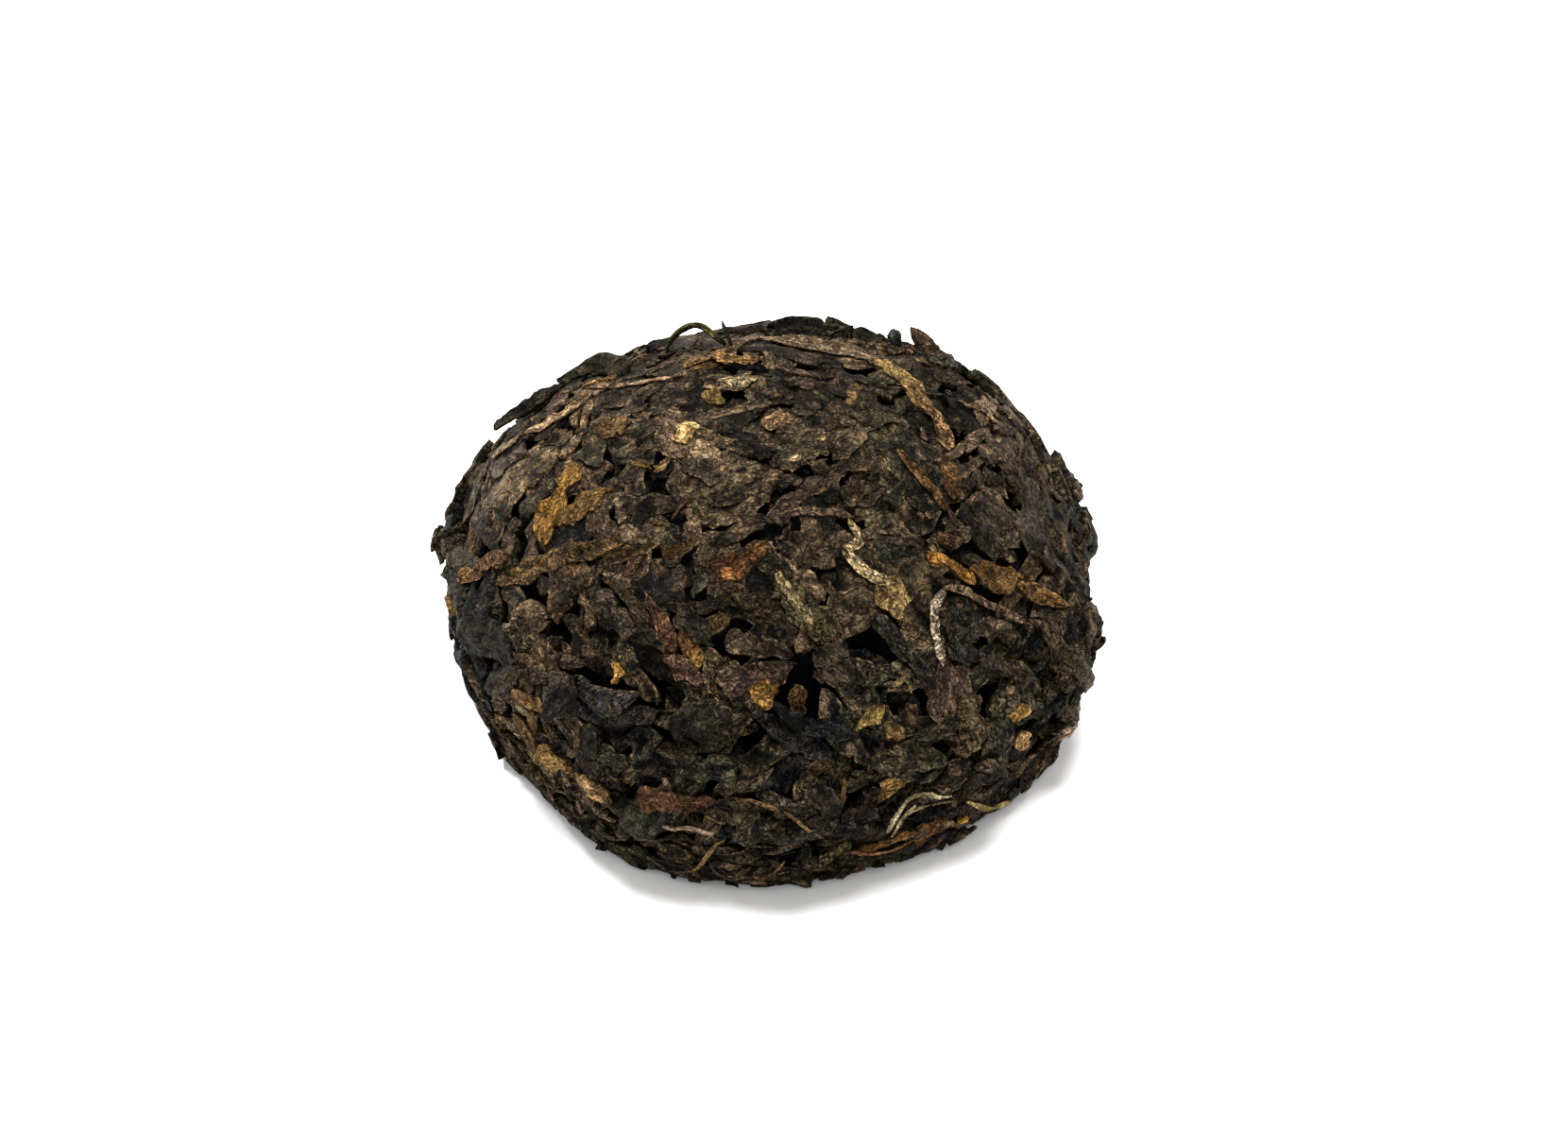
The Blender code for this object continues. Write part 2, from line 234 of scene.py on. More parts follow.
CORE_SUNK = (0.45, 1.6)  # below the form, where the nest is tight and where it is loose
CORE_BUMPS = (0.9, 0.12)  # size and height
CEILING = (-0.2, -0.5)  # the cloth's height over the form, tight and loose
CEILING_WAVES = [  # size, seed, height, and how much more where the nest is loose
    (2.3, 8.1, 0.2, 0.25),
    (1.1, 5.7, 0.16, 0.0),
]
SQUASH = (0.55, 0.8)  # share that is left of what rises past the cloth, tight and loose
WEIGHT_ROOM = 0.02  # added to a distance, so that its weight stays finite
TIGHT_ABOVE = (8.6, 3.2)  # height over which leaves lie tight: all round, and more at the front
TIGHT_WAVES = (4.5, 3.3, 1.6)  # size, seed and height of the waves in that level
LOOSE_FADE = 2.6
FOOT_FADE = (1.2, 4.0)  # heights between which the looseness of the sides sets in
UNDER_LOOSE = 0.15
UNDER_LEVEL = 0.35  # what is lower than this belongs to the underside
HOLLOW_ROOM = 0.6  # above the hollow's depth, that still belongs to the underside
RIM_TOP = 3.9  # the band of leaf edges round the foot
WIDEST = ((-15.4, -15.55), (15.3, 15.0))  # how far out in x and y the outermost leaves are pressed
FLOOR_PRESS = 0.3  # how far above the surface the foot's leaves start to be squashed
HOLLOW_IN_CORE = 0.6  # share of a hollow's depth by which the core sinks
HOLLOW_FIRMNESS = 0.85  # share of the leaves' give that is lost over a hollow
HOLLOWS = [  # a pixel of the photo, then the radius and depth in mm
    ((705, 742), 0.65, 1.3),
    ((760, 692), 0.55, 1.2),
    ((684, 776), 0.5, 1.0),
    ((978, 650), 0.35, 0.9),
    ((1048, 728), 0.4, 0.9),
    ((628, 590), 0.35, 0.7),
    ((838, 758), 0.35, 0.8),
    ((990, 520), 0.3, 0.7),
    ((738, 730), 0.75, 1.3),
    ((765, 715), 0.45, 0.8),
    ((622, 660), 0.6, 0.9),
    ((644, 672), 0.5, 0.8),
    ((802, 592), 0.4, 1.0),
    ((982, 462), 0.45, 1.0),
    ((985, 402), 0.4, 0.8),
    ((1005, 404), 0.4, 0.8),
    ((1118, 567), 0.5, 1.0),
    ((1138, 568), 0.5, 1.0),
    ((1050, 586), 0.45, 0.9),
    ((1062, 694), 0.6, 1.1),
    ((1097, 784), 0.5, 0.9),
    ((922, 512), 0.3, 0.7),
    ((938, 518), 0.3, 0.7),
    ((474, 596), 0.5, 0.5),
    ((566, 434), 0.45, 0.8),
    ((925, 690), 0.5, 0.9),
    ((820, 765), 0.3, 0.7),
    ((852, 782), 0.35, 0.7),
    ((570, 778), 0.5, 0.8),
    ((760, 845), 0.5, 0.7),
    ((660, 600), 0.35, 0.6),
    ((812, 530), 0.3, 0.6),
    ((500, 605), 0.4, 0.7),
    ((540, 690), 0.3, 0.7),
    ((750, 800), 0.3, 0.7),
    ((1010, 890), 0.5, 0.6),
    ((840, 910), 0.8, 0.6),
    ((662, 386), 2.0, 0.5),
    ((792, 350), 1.6, 0.7),
]


def is_under(spots, inside):
    """Whether each spot is on the underside, and at least that far inside the foot's edge."""
    radii = np.hypot(spots[:, 0], spots[:, 1])
    return (radii < FOOT_ACROSS / 2 - inside) & (spots[:, 2] < HOLLOW_DEPTH + HOLLOW_ROOM)


def looseness(spots):
    """0 where the leaves are pressed tight, as on the crown, and 1 where they lie loose."""
    bearings = np.arctan2(spots[:, 1], spots[:, 0])
    size, seed, height = TIGHT_WAVES
    tight = TIGHT_ABOVE[0] - TIGHT_ABOVE[1] * np.sin(bearings)
    tight += noise_at(spots, size, seed) * height
    loose = 1 - smooth(spots[:, 2], tight - LOOSE_FADE, tight)
    loose *= smooth(spots[:, 2], *FOOT_FADE)
    return np.where(is_under(spots, inside=1.0), UNDER_LOOSE, loose)


def regions_of(spots, loose):
    """Which part of the nest each spot is in."""
    under = is_under(spots, inside=0.6) | (spots[:, 2] < UNDER_LEVEL)
    rim = ~under & (spots[:, 2] < RIM_TOP)
    side = ~under & ~rim & (loose > 0.5)
    return np.where(under, "under", np.where(rim, "rim", np.where(side, "side", "crown")))


def pressed_on_floor(heights):
    """Heights over the surface, squashed near it so that nothing goes through."""
    squashed = FLOOR_PRESS * np.exp(np.minimum(heights, FLOOR_PRESS) / FLOOR_PRESS - 1)
    return np.where(heights < FLOOR_PRESS, squashed, heights)


# The photo's camera


def camera_axes():
    """The camera's place, and its right, up and forward axes, in mm."""
    climb = math.radians(CLIMB)
    back = np.array([0, -math.cos(climb), math.sin(climb)])
    right = np.array([1.0, 0, 0])
    return np.array(AIM) + back * DISTANCE, right, np.cross(back, right), -back


def photo_ray(pixel):
    """The camera's place and the direction through a pixel of the photo."""
    place, right, up, ahead = camera_axes()
    x = (pixel[0] - PHOTO_SIZE[0] / 2) / PIXELS_PER_MM
    y = (PHOTO_SIZE[1] / 2 - pixel[1]) / PIXELS_PER_MM
    return place, right * x + up * y + ahead * DISTANCE


def make_camera():
    """The photo's camera, whose lens gives the photo's scale at the aim point."""
    place, right, up, ahead = camera_axes()
    data = bpy.data.cameras.new("camera")
    data.sensor_width = SENSOR
    data.lens = SENSOR * DISTANCE * PIXELS_PER_MM / PHOTO_SIZE[0]
    data.clip_start = 10 * M
    data.clip_end = 2.0
    camera = bpy.data.objects.new("camera", data)
    turn = Matrix((right, up, -ahead)).transposed()
    camera.matrix_world = Matrix.Translation(Vector(place) * M) @ turn.to_4x4()
    bpy.context.scene.collection.objects.link(camera)
    bpy.context.scene.camera = camera


# Colours, as they are in the photo's light

PAPER_GLARE = 3.0  # the photo's paper is lit this many times brighter than plain white
UMBER = "4c4134"
DARK_UMBER = "2d2927"
GREEN_BLACK = "2f3126"
BLACK_LEAF = "202124"
BARK_BROWN = "735d48"
LIGHT_BARK = "92785a"
OLIVE_GREY = "656048"
RED_BROWN = "664e42"
RUST = "7c552f"
GOLD = "8f6a34"
STEM_TAN = "b39368"
FIBRE_TAN = "947246"
# Pale colour of wear, and of the painted highlight where edges and ridges catch light
WEAR_AND_HIGHLIGHT_COLOUR = "b0966d"

CROWN_MIX = [
    (UMBER, 36),
    (DARK_UMBER, 18),
    (GREEN_BLACK, 12),
    (BARK_BROWN, 21),
    (OLIVE_GREY, 4),
    (LIGHT_BARK, 9),
]
CRUMB_MIX = [
    (UMBER, 30),
    (DARK_UMBER, 20),
    (BARK_BROWN, 20),
    (LIGHT_BARK, 14),
    (STEM_TAN, 6),
]
# Darker than the crown's mix: partly the side leaves' own colour, partly painted shade on the sides
# that turn from the light
SIDE_MIX = [
    (GREEN_BLACK, 32),
    (DARK_UMBER, 28),
    (UMBER, 12),
    (BLACK_LEAF, 26),
    (BARK_BROWN, 5),
    (OLIVE_GREY, 3),
]
RIM_MIX = [
    (UMBER, 26),
    (BARK_BROWN, 13),
    (DARK_UMBER, 33),
    (GREEN_BLACK, 22),
    (LIGHT_BARK, 4),
    (RED_BROWN, 4),
]


def colour_of(hex_colour):
    """An sRGB hex colour as linear red, green and blue."""
    parts = np.array([int(hex_colour[i : i + 2], 16) / 255 for i in (0, 2, 4)])
    return np.where(parts <= 0.04045, parts / 12.92, ((parts + 0.055) / 1.055) ** 2.4)


def leaf_tone(hex_colour):
    """The leaf's own colour, for how it looks in the photo's glare."""
    return colour_of(hex_colour) / PAPER_GLARE


# Leaves

LEAF_STEP = 0.145  # between the points of a leaf's skin
ROOT_PLACES = (-1, 0, 1)  # the skin's three lines of points underneath, as shares of its width
TEARS = ((1.1, 1.1), (0.55, 0.4))  # a torn edge's notches, coarse and fine: height and size
WORN_WAVES = ((1.2, 1.4), (0.3, 0.35))  # the same for an edge that is worn smooth
TEAR_DEPTH = 2.2  # of an edge's notches, and below of the ends', for a look's tear of 1
END_TEAR_DEPTH = 0.8
EDGE_REACH = (0.08, 1.5)  # least and most that torn edges stand out, as shares of half the width
ROLL_THICK = 0.12  # of a roll at its ends
ROLL_SHARE = 0.36  # a roll's height, as a share of its width
CRUMPLE_SIZE = 1.1
CREASE_SIZE = 0.8
CRINKLE_SIZES = (0.5, 0.27)
FOLD_SIZE = 0.42
CREASES_DRAWN = (0.6, 1, 1)  # what makes creases, and below folds, longer than they are wide
FOLDS_DRAWN = (0.22, 1, 1)

FIRM_BED = 70  # a stiff leaf rests at the height that this percentage of its bed is below
CLOTH_EDGE = 0.05  # how gradually the cloth takes hold
THINNEST_STEP = 0.05  # that a leaf makes on those below, however hard it is pressed
NAMED_STEP = 0.06  # that a named leaf makes at least
PRESSED_RELIEF = 0.3  # share of a leaf's wrinkles that pressing leaves
LIFTED_THICK = 0.13
LIFTED_PROP = 0.2  # the most that a leaf which stands off raises the stack
HIDDEN_SHARE = 0.035  # a leaf that shows less than this is left out
CLEAR_SHARE = 0.5  # of its length, how near a leaf's middle may come to one that stands out


class Look:
    """How one kind of leaf is shaped and coloured. Sizes are in mm."""

    def __init__(self, piece, length, width, colours, **more):
        self.piece, self.length, self.width, self.colours = piece, length, width, colours
        self.thick = more.get("thick", (0.16, 0.28))
        self.crown = more.get("crown", 0.06)  # how far the middle is higher than the edges
        self.droop = more.get("droop", 0.14)  # how far the edges are tucked down
        self.tilt = more.get("tilt", 0.12)  # most that one side lies higher than the other
        self.crumple = more.get("crumple", 0.09)  # bumps of about 1 mm
        self.crinkle = more.get("crinkle", 0.05)  # small bumps all over
        self.furrow = more.get("furrow", 0.05)  # folds along the leaf
        self.twist = more.get("twist", 0.3)  # how far the folds run across it
        self.pleat = more.get("pleat", 0.03)  # height of one or two long pleats
        self.curl = more.get("curl", 0.05)  # most that one long edge turns up or down
        self.tear = more.get("tear", 0.24)  # raggedness of the outline
        self.worn_smooth = more.get("worn_smooth", 0.0)  # 0 is a torn outline, 1 a wavy one
        self.loose_end = more.get("loose_end", 0.0)  # how far one end stands up
        self.point = more.get("point", 0.45)  # 0 has blunt ends, 1 has pointed ones
        self.rolled = more.get("rolled", 0.0)  # 0 is flat, 1 is a round roll
        self.under = more.get("under", 0.84)  # the root's width, as a share of the leaf's
        self.bend = more.get("bend", 0.05)  # 1 / mm
        self.stiff = more.get("stiff", 0.4)  # 1 bridges the dips, 0 follows them
        self.lift = more.get("lift", 0.0)  # of one long edge, as of a flake that stands off
        self.arch = more.get("arch", 0.0)  # of the middle, as of a loop that stands off
        self.rise = more.get("rise", 0.0)  # of one end, as of a twig that sticks out
        self.set_in = more.get("set_in", 0.0)  # how far it is pushed in among those below
        self.free = more.get("free", False)  # not pressed down by the cloth
        self.root = more.get("root", 0.2)
        self.step = more.get("step", LEAF_STEP)
        self.heading = more.get("heading", 180)  # most degrees away from level

    @property
    def stands(self):
        return bool(self.lift or self.arch or self.rise)


def wavy(values, size, rng):
    """Noise of about -1 to 1 along a line of values."""
    shift = rng.uniform(0, 99)
    return np.array([noise.noise((v / size, shift, 0.5)) for v in values])


def jagged(values, size, rng):
    """Straight stretches of about that length between random values of -1 to 1."""
    low, high = min(values), max(values)
    count = round((high - low) / size) + 2
    knots = sorted(rng.uniform(low, high) for _ in range(count))
    return np.interp(values, knots, [rng.uniform(-1, 1) for _ in range(count)])


class Skin:
    """A leaf laid out flat: a row of points across it at each station along it.

    Each row goes over the top from one edge to the other, then back along the root underneath.
    """

    def __init__(self, look, rng, length, width):
        rows = max(5, round(length / look.step) + 1)
        self.cols = max(4, round(width / look.step) + 1)
        s = np.linspace(-1, 1, rows)
        top = np.linspace(1, -1, self.cols)
        c = np.concatenate([top, look.under * np.array(ROOT_PLACES)])
        self.stations = s * length / 2
        outline = self.outline(look, rng, s)
        sides = [self.torn_edge(look, rng, s, outline) * width / 2 for _ in range(2)]
        self.across = np.where(c > 0, sides[0][:, None] * c, sides[1][:, None] * c)
        ragged = jagged(c * width / 2, TEARS[1][1], rng) * look.tear * width * END_TEAR_DEPTH
        self.ragged = ragged * (np.abs(s[:, None]) ** 5) * np.sign(s[:, None])
        along = self.stations[:, None] + self.ragged
        self.height = self.folded(look, rng, s[:, None], c, outline, width)[:, : self.cols]
        self.relief = self.wrinkles(look, rng, along)[:, : self.cols]
        sway = rng.uniform(-1, 1) * look.bend
        self.across += sway * (along**2 - length**2 / 12)
        self.across += 0.12 * look.bend * length**2 * np.sin(s * 2.2)[:, None] * rng.uniform(-1, 1)
        self.edge = np.abs(np.tile(c, (rows, 1)))
        self.flat = np.stack([along, self.across], axis=-1)

    @staticmethod
    def outline(look, rng, s):
        """The leaf's width at each station, as a share of its greatest."""
        blunt = [1 - look.point * rng.uniform(0.5, 1.0) for _ in range(2)]
        ends = np.where(s < 0, blunt[0], blunt[1])
        fullness = rng.uniform(1.8, 3.4)
        shares = ends + (1 - ends) * (1 - np.abs(s) ** fullness)
        return shares * np.sqrt(np.clip(1.03 - np.abs(s) ** 10, 0.05, 1))

    def torn_edge(self, look, rng, s, outline):
        """How far out one long edge is at each station, as a share of half the leaf's width."""
        lean = 1 + 0.25 * rng.uniform(-1, 1) * s
        torn = sum(height * jagged(self.stations, size, rng) for height, size in TEARS)
        soft = sum(height * wavy(self.stations, size, rng) for height, size in WORN_WAVES)
        torn += look.worn_smooth * (soft - torn)
        return np.clip(outline * lean * (1 + TEAR_DEPTH * look.tear * torn), *EDGE_REACH)

    @staticmethod
    def folded(look, rng, s, c, outline, width):
        """The height of each point: thickness, roll and pleats, and how edges and ends lie."""
        level = 1 - c**2
        tuck = np.abs(c) ** 5 + 0.7 * np.abs(s) ** 9
        thick = rng.uniform(*look.thick)
        height = thick + look.crown * level - look.droop * tuck
        height += look.tilt * (rng.uniform(-1, 1) * c + rng.uniform(-1, 1) * s)
        full = np.sqrt(np.clip(outline, 0.1, 1))[:, None] * np.sqrt(np.clip(level, 0, 1))
        height += look.rolled * (ROLL_THICK + full * width * ROLL_SHARE - thick)
        slant = math.tau * rng.random() + 3 * look.twist * rng.uniform(-1, 1) * s
        pleats = np.cos(math.pi * rng.choice((1, 1.5, 2)) * c + slant)
        height += look.pleat * pleats * (1 - 0.5 * s**2)
        height += look.curl * rng.uniform(-1, 1) * np.clip(rng.choice((-1, 1)) * c, 0, 1) ** 2.5
        height += look.loose_end * rng.random() * np.clip(s, 0, 1) ** 3
        height += look.lift * np.clip(c, 0, 1) ** 1.6 * (1 - 0.4 * s**2)
        height += look.arch * (1 - s**2) + look.rise * (1 + s) / 2
        return height

    def wrinkles(self, look, rng, along):
        """Fine crinkles all over, and folds that run along the leaf."""
        turned = self.across + look.twist * along * rng.choice((-1, 1))
        grain = np.stack([along, turned, 0 * along], axis=-1).reshape(-1, 3)
        seed = rng.uniform(0, 50)
        creases = 1 - 3 * np.abs(noise_at(grain * CREASES_DRAWN, CREASE_SIZE, seed + 5))
        coarse, fine = (noise_at(grain, size, seed) for size in CRINKLE_SIZES)
        folds = 1 - 2.6 * np.abs(noise_at(grain * FOLDS_DRAWN, FOLD_SIZE, seed + 9))
        relief = look.crinkle * (coarse + 0.6 * fine) + look.furrow * folds
        relief += look.crumple * (noise_at(grain, CRUMPLE_SIZE, seed + 2) + 0.6 * creases)
        return relief.reshape(along.shape)


class Leaf:
    """A leaf that has been laid."""

    def __init__(self, piece, points, colours, flat, spots):
        self.piece, self.points, self.colours, self.flat = piece, points, colours, flat
        self.spots = spots  # of the form, that it covers


def softened(grid):
    """Each value averaged with its neighbours along and across."""
    for axis in (0, 1):
        size = grid.shape[axis]
        padded = np.concatenate([grid.take([0], axis), grid, grid.take([-1], axis)], axis)
        before, after = padded.take(range(size), axis), padded.take(range(2, size + 2), axis)
        grid = (before + 2 * grid + after) / 4
    return grid


def through(points, count=40):
    """A smooth line of points through a few."""
    points = np.array(points)
    if len(points) == 2:
        return points[0] + np.linspace(0, 1, count)[:, None] * (points[1] - points[0])
    padded = np.vstack([2 * points[0] - points[1], points, 2 * points[-1] - points[-2]])
    line = []
    for a, b, c, d in zip(padded, padded[1:], padded[2:], padded[3:]):
        for t in np.linspace(0, 1, count, endpoint=False):
            bow = 2 * b + (c - a) * t + (2 * a - 5 * b + 4 * c - d) * t**2
            line.append((bow + (3 * b - a - 3 * c + d) * t**3) / 2)
    return np.array(line + [points[-1]])


class Nest:
    """The nest as it is built up: the form, and the leaves laid on it so far."""

    def __init__(self):
        self.form = Form()
        self.rng = random.Random(SEED)
        self.leaves = []
        self.kept_clear = np.zeros(len(self.form.spots), dtype=bool)

    def line_at(self, spot, heading, length):
        """A straight line of that length, centred on a spot and turned from the level direction."""
        form = self.form
        place, out = form.spots[spot], form.normals[spot]
        level = np.cross((0, 0, 1), out)
        if np.linalg.norm(level) < 0.05:
            level = np.array([1.0, 0, 0]) - out * out[0]
        level /= np.linalg.norm(level)
        turn = math.radians(heading)
        along = level * math.cos(turn) + np.cross(out, level) * math.sin(turn)
        return np.array([place - along * length / 2, place + along * length / 2])

    def spread(self, skin, middle):
        """The skin's points, laid out over the form from the leaf's middle line."""
        places, normals, _, _ = self.form.project(middle)
        tangents = np.gradient(places, axis=0)
        across = np.cross(normals, tangents)
        tangents /= np.linalg.norm(tangents, axis=1)[:, None]
        across /= np.linalg.norm(across, axis=1)[:, None]
        spread = skin.across[..., None] * across[:, None]
        spread += skin.ragged[..., None] * tangents[:, None]
        return (places[:, None] + spread).reshape(-1, 3)

    def pressed(self, look, skin, faces, weights, on_top):
        """The height of the skin's top over the form once pressed, and of the bed under it."""
        form, cols = self.form, skin.cols

        def under_skin(values):
            """The form's values at the points of the skin's top."""
            return (values[faces] * weights).sum(axis=1).reshape(skin.across.shape)[:, :cols]

        stack = under_skin(form.stack)
        firm = np.percentile(stack, FIRM_BED)
        bed = (1 - look.stiff) * softened(softened(stack)) + look.stiff * firm
        top = bed + skin.height + skin.relief - look.set_in
        if not look.free:
            ceiling, left = under_skin(form.ceiling), under_skin(form.squash)
            over = np.logaddexp(0, (top - ceiling) / CLOTH_EDGE) * CLOTH_EDGE
            thin = THINNEST_STEP * (1 - 0.6 * skin.edge[:, :cols] ** 4)
            thin *= 1 - smooth(bed - ceiling, 0.1, 0.5)
            top = np.maximum(top - (1 - left) * over, bed + thin + PRESSED_RELIEF * skin.relief)
        if on_top and not look.stands:
            top = np.maximum(top, stack + NAMED_STEP + PRESSED_RELIEF * skin.relief)
        return top, bed

    def lay(self, look, line, width, colour=None, on_top=False):
        """Lays one leaf on the stack, along a line of points."""
        form, rng = self.form, self.rng
        line = through(line)
        steps = np.linalg.norm(np.diff(line, axis=0), axis=1)
        reach = np.concatenate([[0], np.cumsum(steps)])
        length = reach[-1]
        skin = Skin(look, rng, length, width)
        shape, cols = skin.across.shape, skin.cols
        stops = skin.stations + length / 2
        middle = np.stack([np.interp(stops, reach, line[:, k]) for k in range(3)], axis=1)
        places, normals, faces, weights = form.project(self.spread(skin, middle))

        top, bed = self.pressed(look, skin, faces, weights, on_top)
        if look.stands:
            root = np.stack([top[:, -1], top[:, cols // 2], top[:, 0]], axis=1) - LIFTED_THICK
        else:
            root = np.repeat(top.min(axis=1)[:, None] - look.root, 3, axis=1)
        heights = np.concatenate([top, root], axis=1)
        points = places + normals * heights.reshape(-1)[:, None]
        points[:, 2] = pressed_on_floor(points[:, 2])
        points[:, :2] = np.clip(points[:, :2], *WIDEST)

        spots = faces.reshape(*shape, 3)[:, :cols].reshape(-1, 3)
        covered = np.unique(spots)
        before = form.stack[covered].copy()
        raised_to = np.minimum(top, bed + LIFTED_PROP) if look.stands else top
        np.maximum.at(form.stack, spots.ravel(), np.repeat(raised_to.ravel(), 3))
        form.owner[covered[form.stack[covered] > before]] = len(self.leaves)
        depth = heights - form.cloth[spots[:, 0]].mean()
        relief = np.concatenate([skin.relief, np.full((shape[0], 3), ROOT_RELIEF)], axis=1).ravel()
        colours = leaf_colours(look, rng, points, skin.edge, depth, relief, colour)
        flat = skin.flat + rng.uniform(0, 40)
        self.leaves.append(Leaf(look.piece, points.reshape(*shape, 3), colours, flat, covered))

    def scatter(self, look, region, count, picks):
        """Lays leaves of one kind over a region, each where the nest is lowest of a few places."""
        form, rng = self.form, self.rng
        spots = np.flatnonzero(form.regions == region)
        kept = form.spots[self.kept_clear]
        for _ in range(count):
            length, width = rng.uniform(*look.length), rng.uniform(*look.width)
            tried = [spots[rng.randrange(len(spots))] for _ in range(picks)]
            if len(kept):
                away = [np.linalg.norm(kept - form.spots[t], axis=1).min() for t in tried]
                tried = [t for t, far in zip(tried, away) if far > CLEAR_SHARE * length]
            if not tried:
                continue
            gaps = [form.stack[t] - form.ceiling[t] for t in tried]
            spot = tried[int(np.argmin(gaps))]
            heading = rng.uniform(-look.heading, look.heading)
            self.lay(look, self.line_at(spot, heading, length), width)

    def seen(self):
        """The leaves that still show, at least a little, under those laid later."""
        owner = self.form.owner
        shows = np.bincount(owner[owner >= 0], minlength=len(self.leaves))
        shares = [show / len(leaf.spots) for show, leaf in zip(shows, self.leaves)]
        return [leaf for leaf, share in zip(self.leaves, shares) if share > HIDDEN_SHARE]


# A leaf's colours

TONES = (-1.0, 0.6)  # powers of e, from the darkest leaf's to the lightest's
NAMED_TONES = (1.3, 1.45)  # makes up for the painted shade of a named leaf's own cracks and folds
NAMED_DARK = (0.56, 0.53, 0.52)  # a named leaf's second colour, as shares of its first
PATCH_SIZES = (1.0, 0.45)
MOST_WEAR_AND_HIGHLIGHT = 0.8  # most that a leaf's edges and ridges are made pale, as wear and as painted highlight, and below a named leaf's
NAMED_LEAF_WEAR_AND_HIGHLIGHT = 0.3
ROOT_RELIEF = -0.2  # the root takes a deep wrinkle's painted shade
FURROW_PAINTED_SHADE = 0.45  # painted shade at the bottom of a wrinkle, and below the painted light that its ridge has more
RIDGE_PAINTED_LIGHT = 0.8
DARK_DEPTH = -0.9  # under the cloth, where so little light comes that leaf is at its darkest
DEPTH_TONE = 0.2  # of leaf there


def leaf_colours(look, rng, points, edge, depth, relief, colour):
    """A colour for each point: the leaf's own in patches over a second, pale on edges and ridges as
    wear and painted highlight, with painted shade in its wrinkles, on its root and deep under the
    cloth.
    """
    names = [name for name, _ in look.colours]
    shares = [share for _, share in look.colours]
    first, second = (leaf_tone(name) for name in rng.choices(names, shares, k=2))
    tone = math.exp(rng.uniform(*TONES))
    if colour:
        first, second = leaf_tone(colour), leaf_tone(colour) * NAMED_DARK
        tone = rng.uniform(*NAMED_TONES)
    seed = rng.uniform(0, 50)
    coarse, fine = (noise_at(points, size, seed) for size in PATCH_SIZES)
    patch = smooth(coarse + 0.5 * fine, 0.0, 0.35)[:, None]
    mixed = (first * (1 - patch) + second * patch) * tone
    raised = smooth(relief, -0.12, 0.16)
    # Edges and ridges turn pale: partly wear, partly painted highlight
    wear_and_highlight = (0.6 * edge.reshape(-1) ** 6 + 0.5 * raised**3)[:, None]
    wear_and_highlight *= rng.uniform(0, NAMED_LEAF_WEAR_AND_HIGHLIGHT if colour else MOST_WEAR_AND_HIGHLIGHT)
    mixed = mixed * (1 - wear_and_highlight) + leaf_tone(WEAR_AND_HIGHLIGHT_COLOUR) * wear_and_highlight
    # Painted shade in the wrinkles and on the root, painted light on the ridges
    mixed *= (FURROW_PAINTED_SHADE + RIDGE_PAINTED_LIGHT * raised)[:, None]
    lit = smooth(depth, DARK_DEPTH, 0.0).reshape(-1)[:, None]
    return mixed * (DEPTH_TONE + (1 - DEPTH_TONE) * lit)


# The kinds of leaf

CROWN_PLATE = Look(
    "crown_leaves", (2.0, 5.0), (1.4, 3.2), CROWN_MIX, droop=0.1, tear=0.2, worn_smooth=0.25,
    crumple=0.16, crinkle=0.07, furrow=0.08, pleat=0.08,
)
CROWN_SCRAP = Look(
    "crown_scraps", (0.9, 2.6), (0.5, 1.3), CROWN_MIX, tear=0.26, point=0.6, droop=0.1, furrow=0.09,
    crinkle=0.07, tilt=0.2,
)
SIDE_PLATE = Look(
    "side_leaves", (2.4, 4.6), (1.2, 2.2), SIDE_MIX, thick=(0.3, 0.5), crinkle=0.07, furrow=0.1,
    crumple=0.15, crown=0.26, droop=0.44, tilt=0.36, stiff=0.6, bend=0.09, point=0.6, root=0.5,
    tear=0.28, worn_smooth=0.3, pleat=0.2, curl=0.35, heading=60,
)
TWISTED = Look(
    "twisted_leaves", (2.8, 6.0), (0.9, 1.7), SIDE_MIX, thick=(0.3, 0.55), rolled=1.0, under=0.55,
    crinkle=0.05, furrow=0.16, crumple=0.12, twist=0.5, point=0.7, tear=0.18, tilt=0.3,
    bend=0.14, stiff=0.6, root=0.5, pleat=0.15, curl=0.1, worn_smooth=0.3, heading=70,
)
SIDE_SCRAP = Look(
    "side_scraps", (1.2, 3.0), (0.6, 1.3), SIDE_MIX, thick=(0.2, 0.4), rolled=0.5, crinkle=0.07,
    furrow=0.12, crumple=0.12, tilt=0.35, point=0.7, tear=0.32, bend=0.14, stiff=0.5, pleat=0.1,
    curl=0.2,
)
RIM_LEAF = Look(
    "rim_leaves", (1.8, 5.0), (0.35, 1.1), RIM_MIX, thick=(0.14, 0.3), rolled=0.35, crinkle=0.07,
    furrow=0.11, crumple=0.12, twist=0.15, point=0.6, tear=0.34, tilt=0.3, bend=0.06, stiff=0.4,
    heading=24, loose_end=0.4,
)
UNDER_LEAF = Look("underside_leaves", (2.2, 4.8), (1.4, 2.8), RIM_MIX, step=0.24)
BUD = Look(
    "golden_tips", (1.0, 2.4), (0.5, 1.1), [(GOLD, 3), (RUST, 2), (FIBRE_TAN, 2)], rolled=0.5,
    thick=(0.14, 0.22), furrow=0.05, point=0.85, tear=0.16, stiff=0.5, step=0.14,
)
RED_LEAF = Look(
    "red_brown_leaves", (1.6, 3.4), (0.8, 1.6), [(RED_BROWN, 4), (RUST, 1)], rolled=0.3,
    furrow=0.06, point=0.6, stiff=0.5,
)
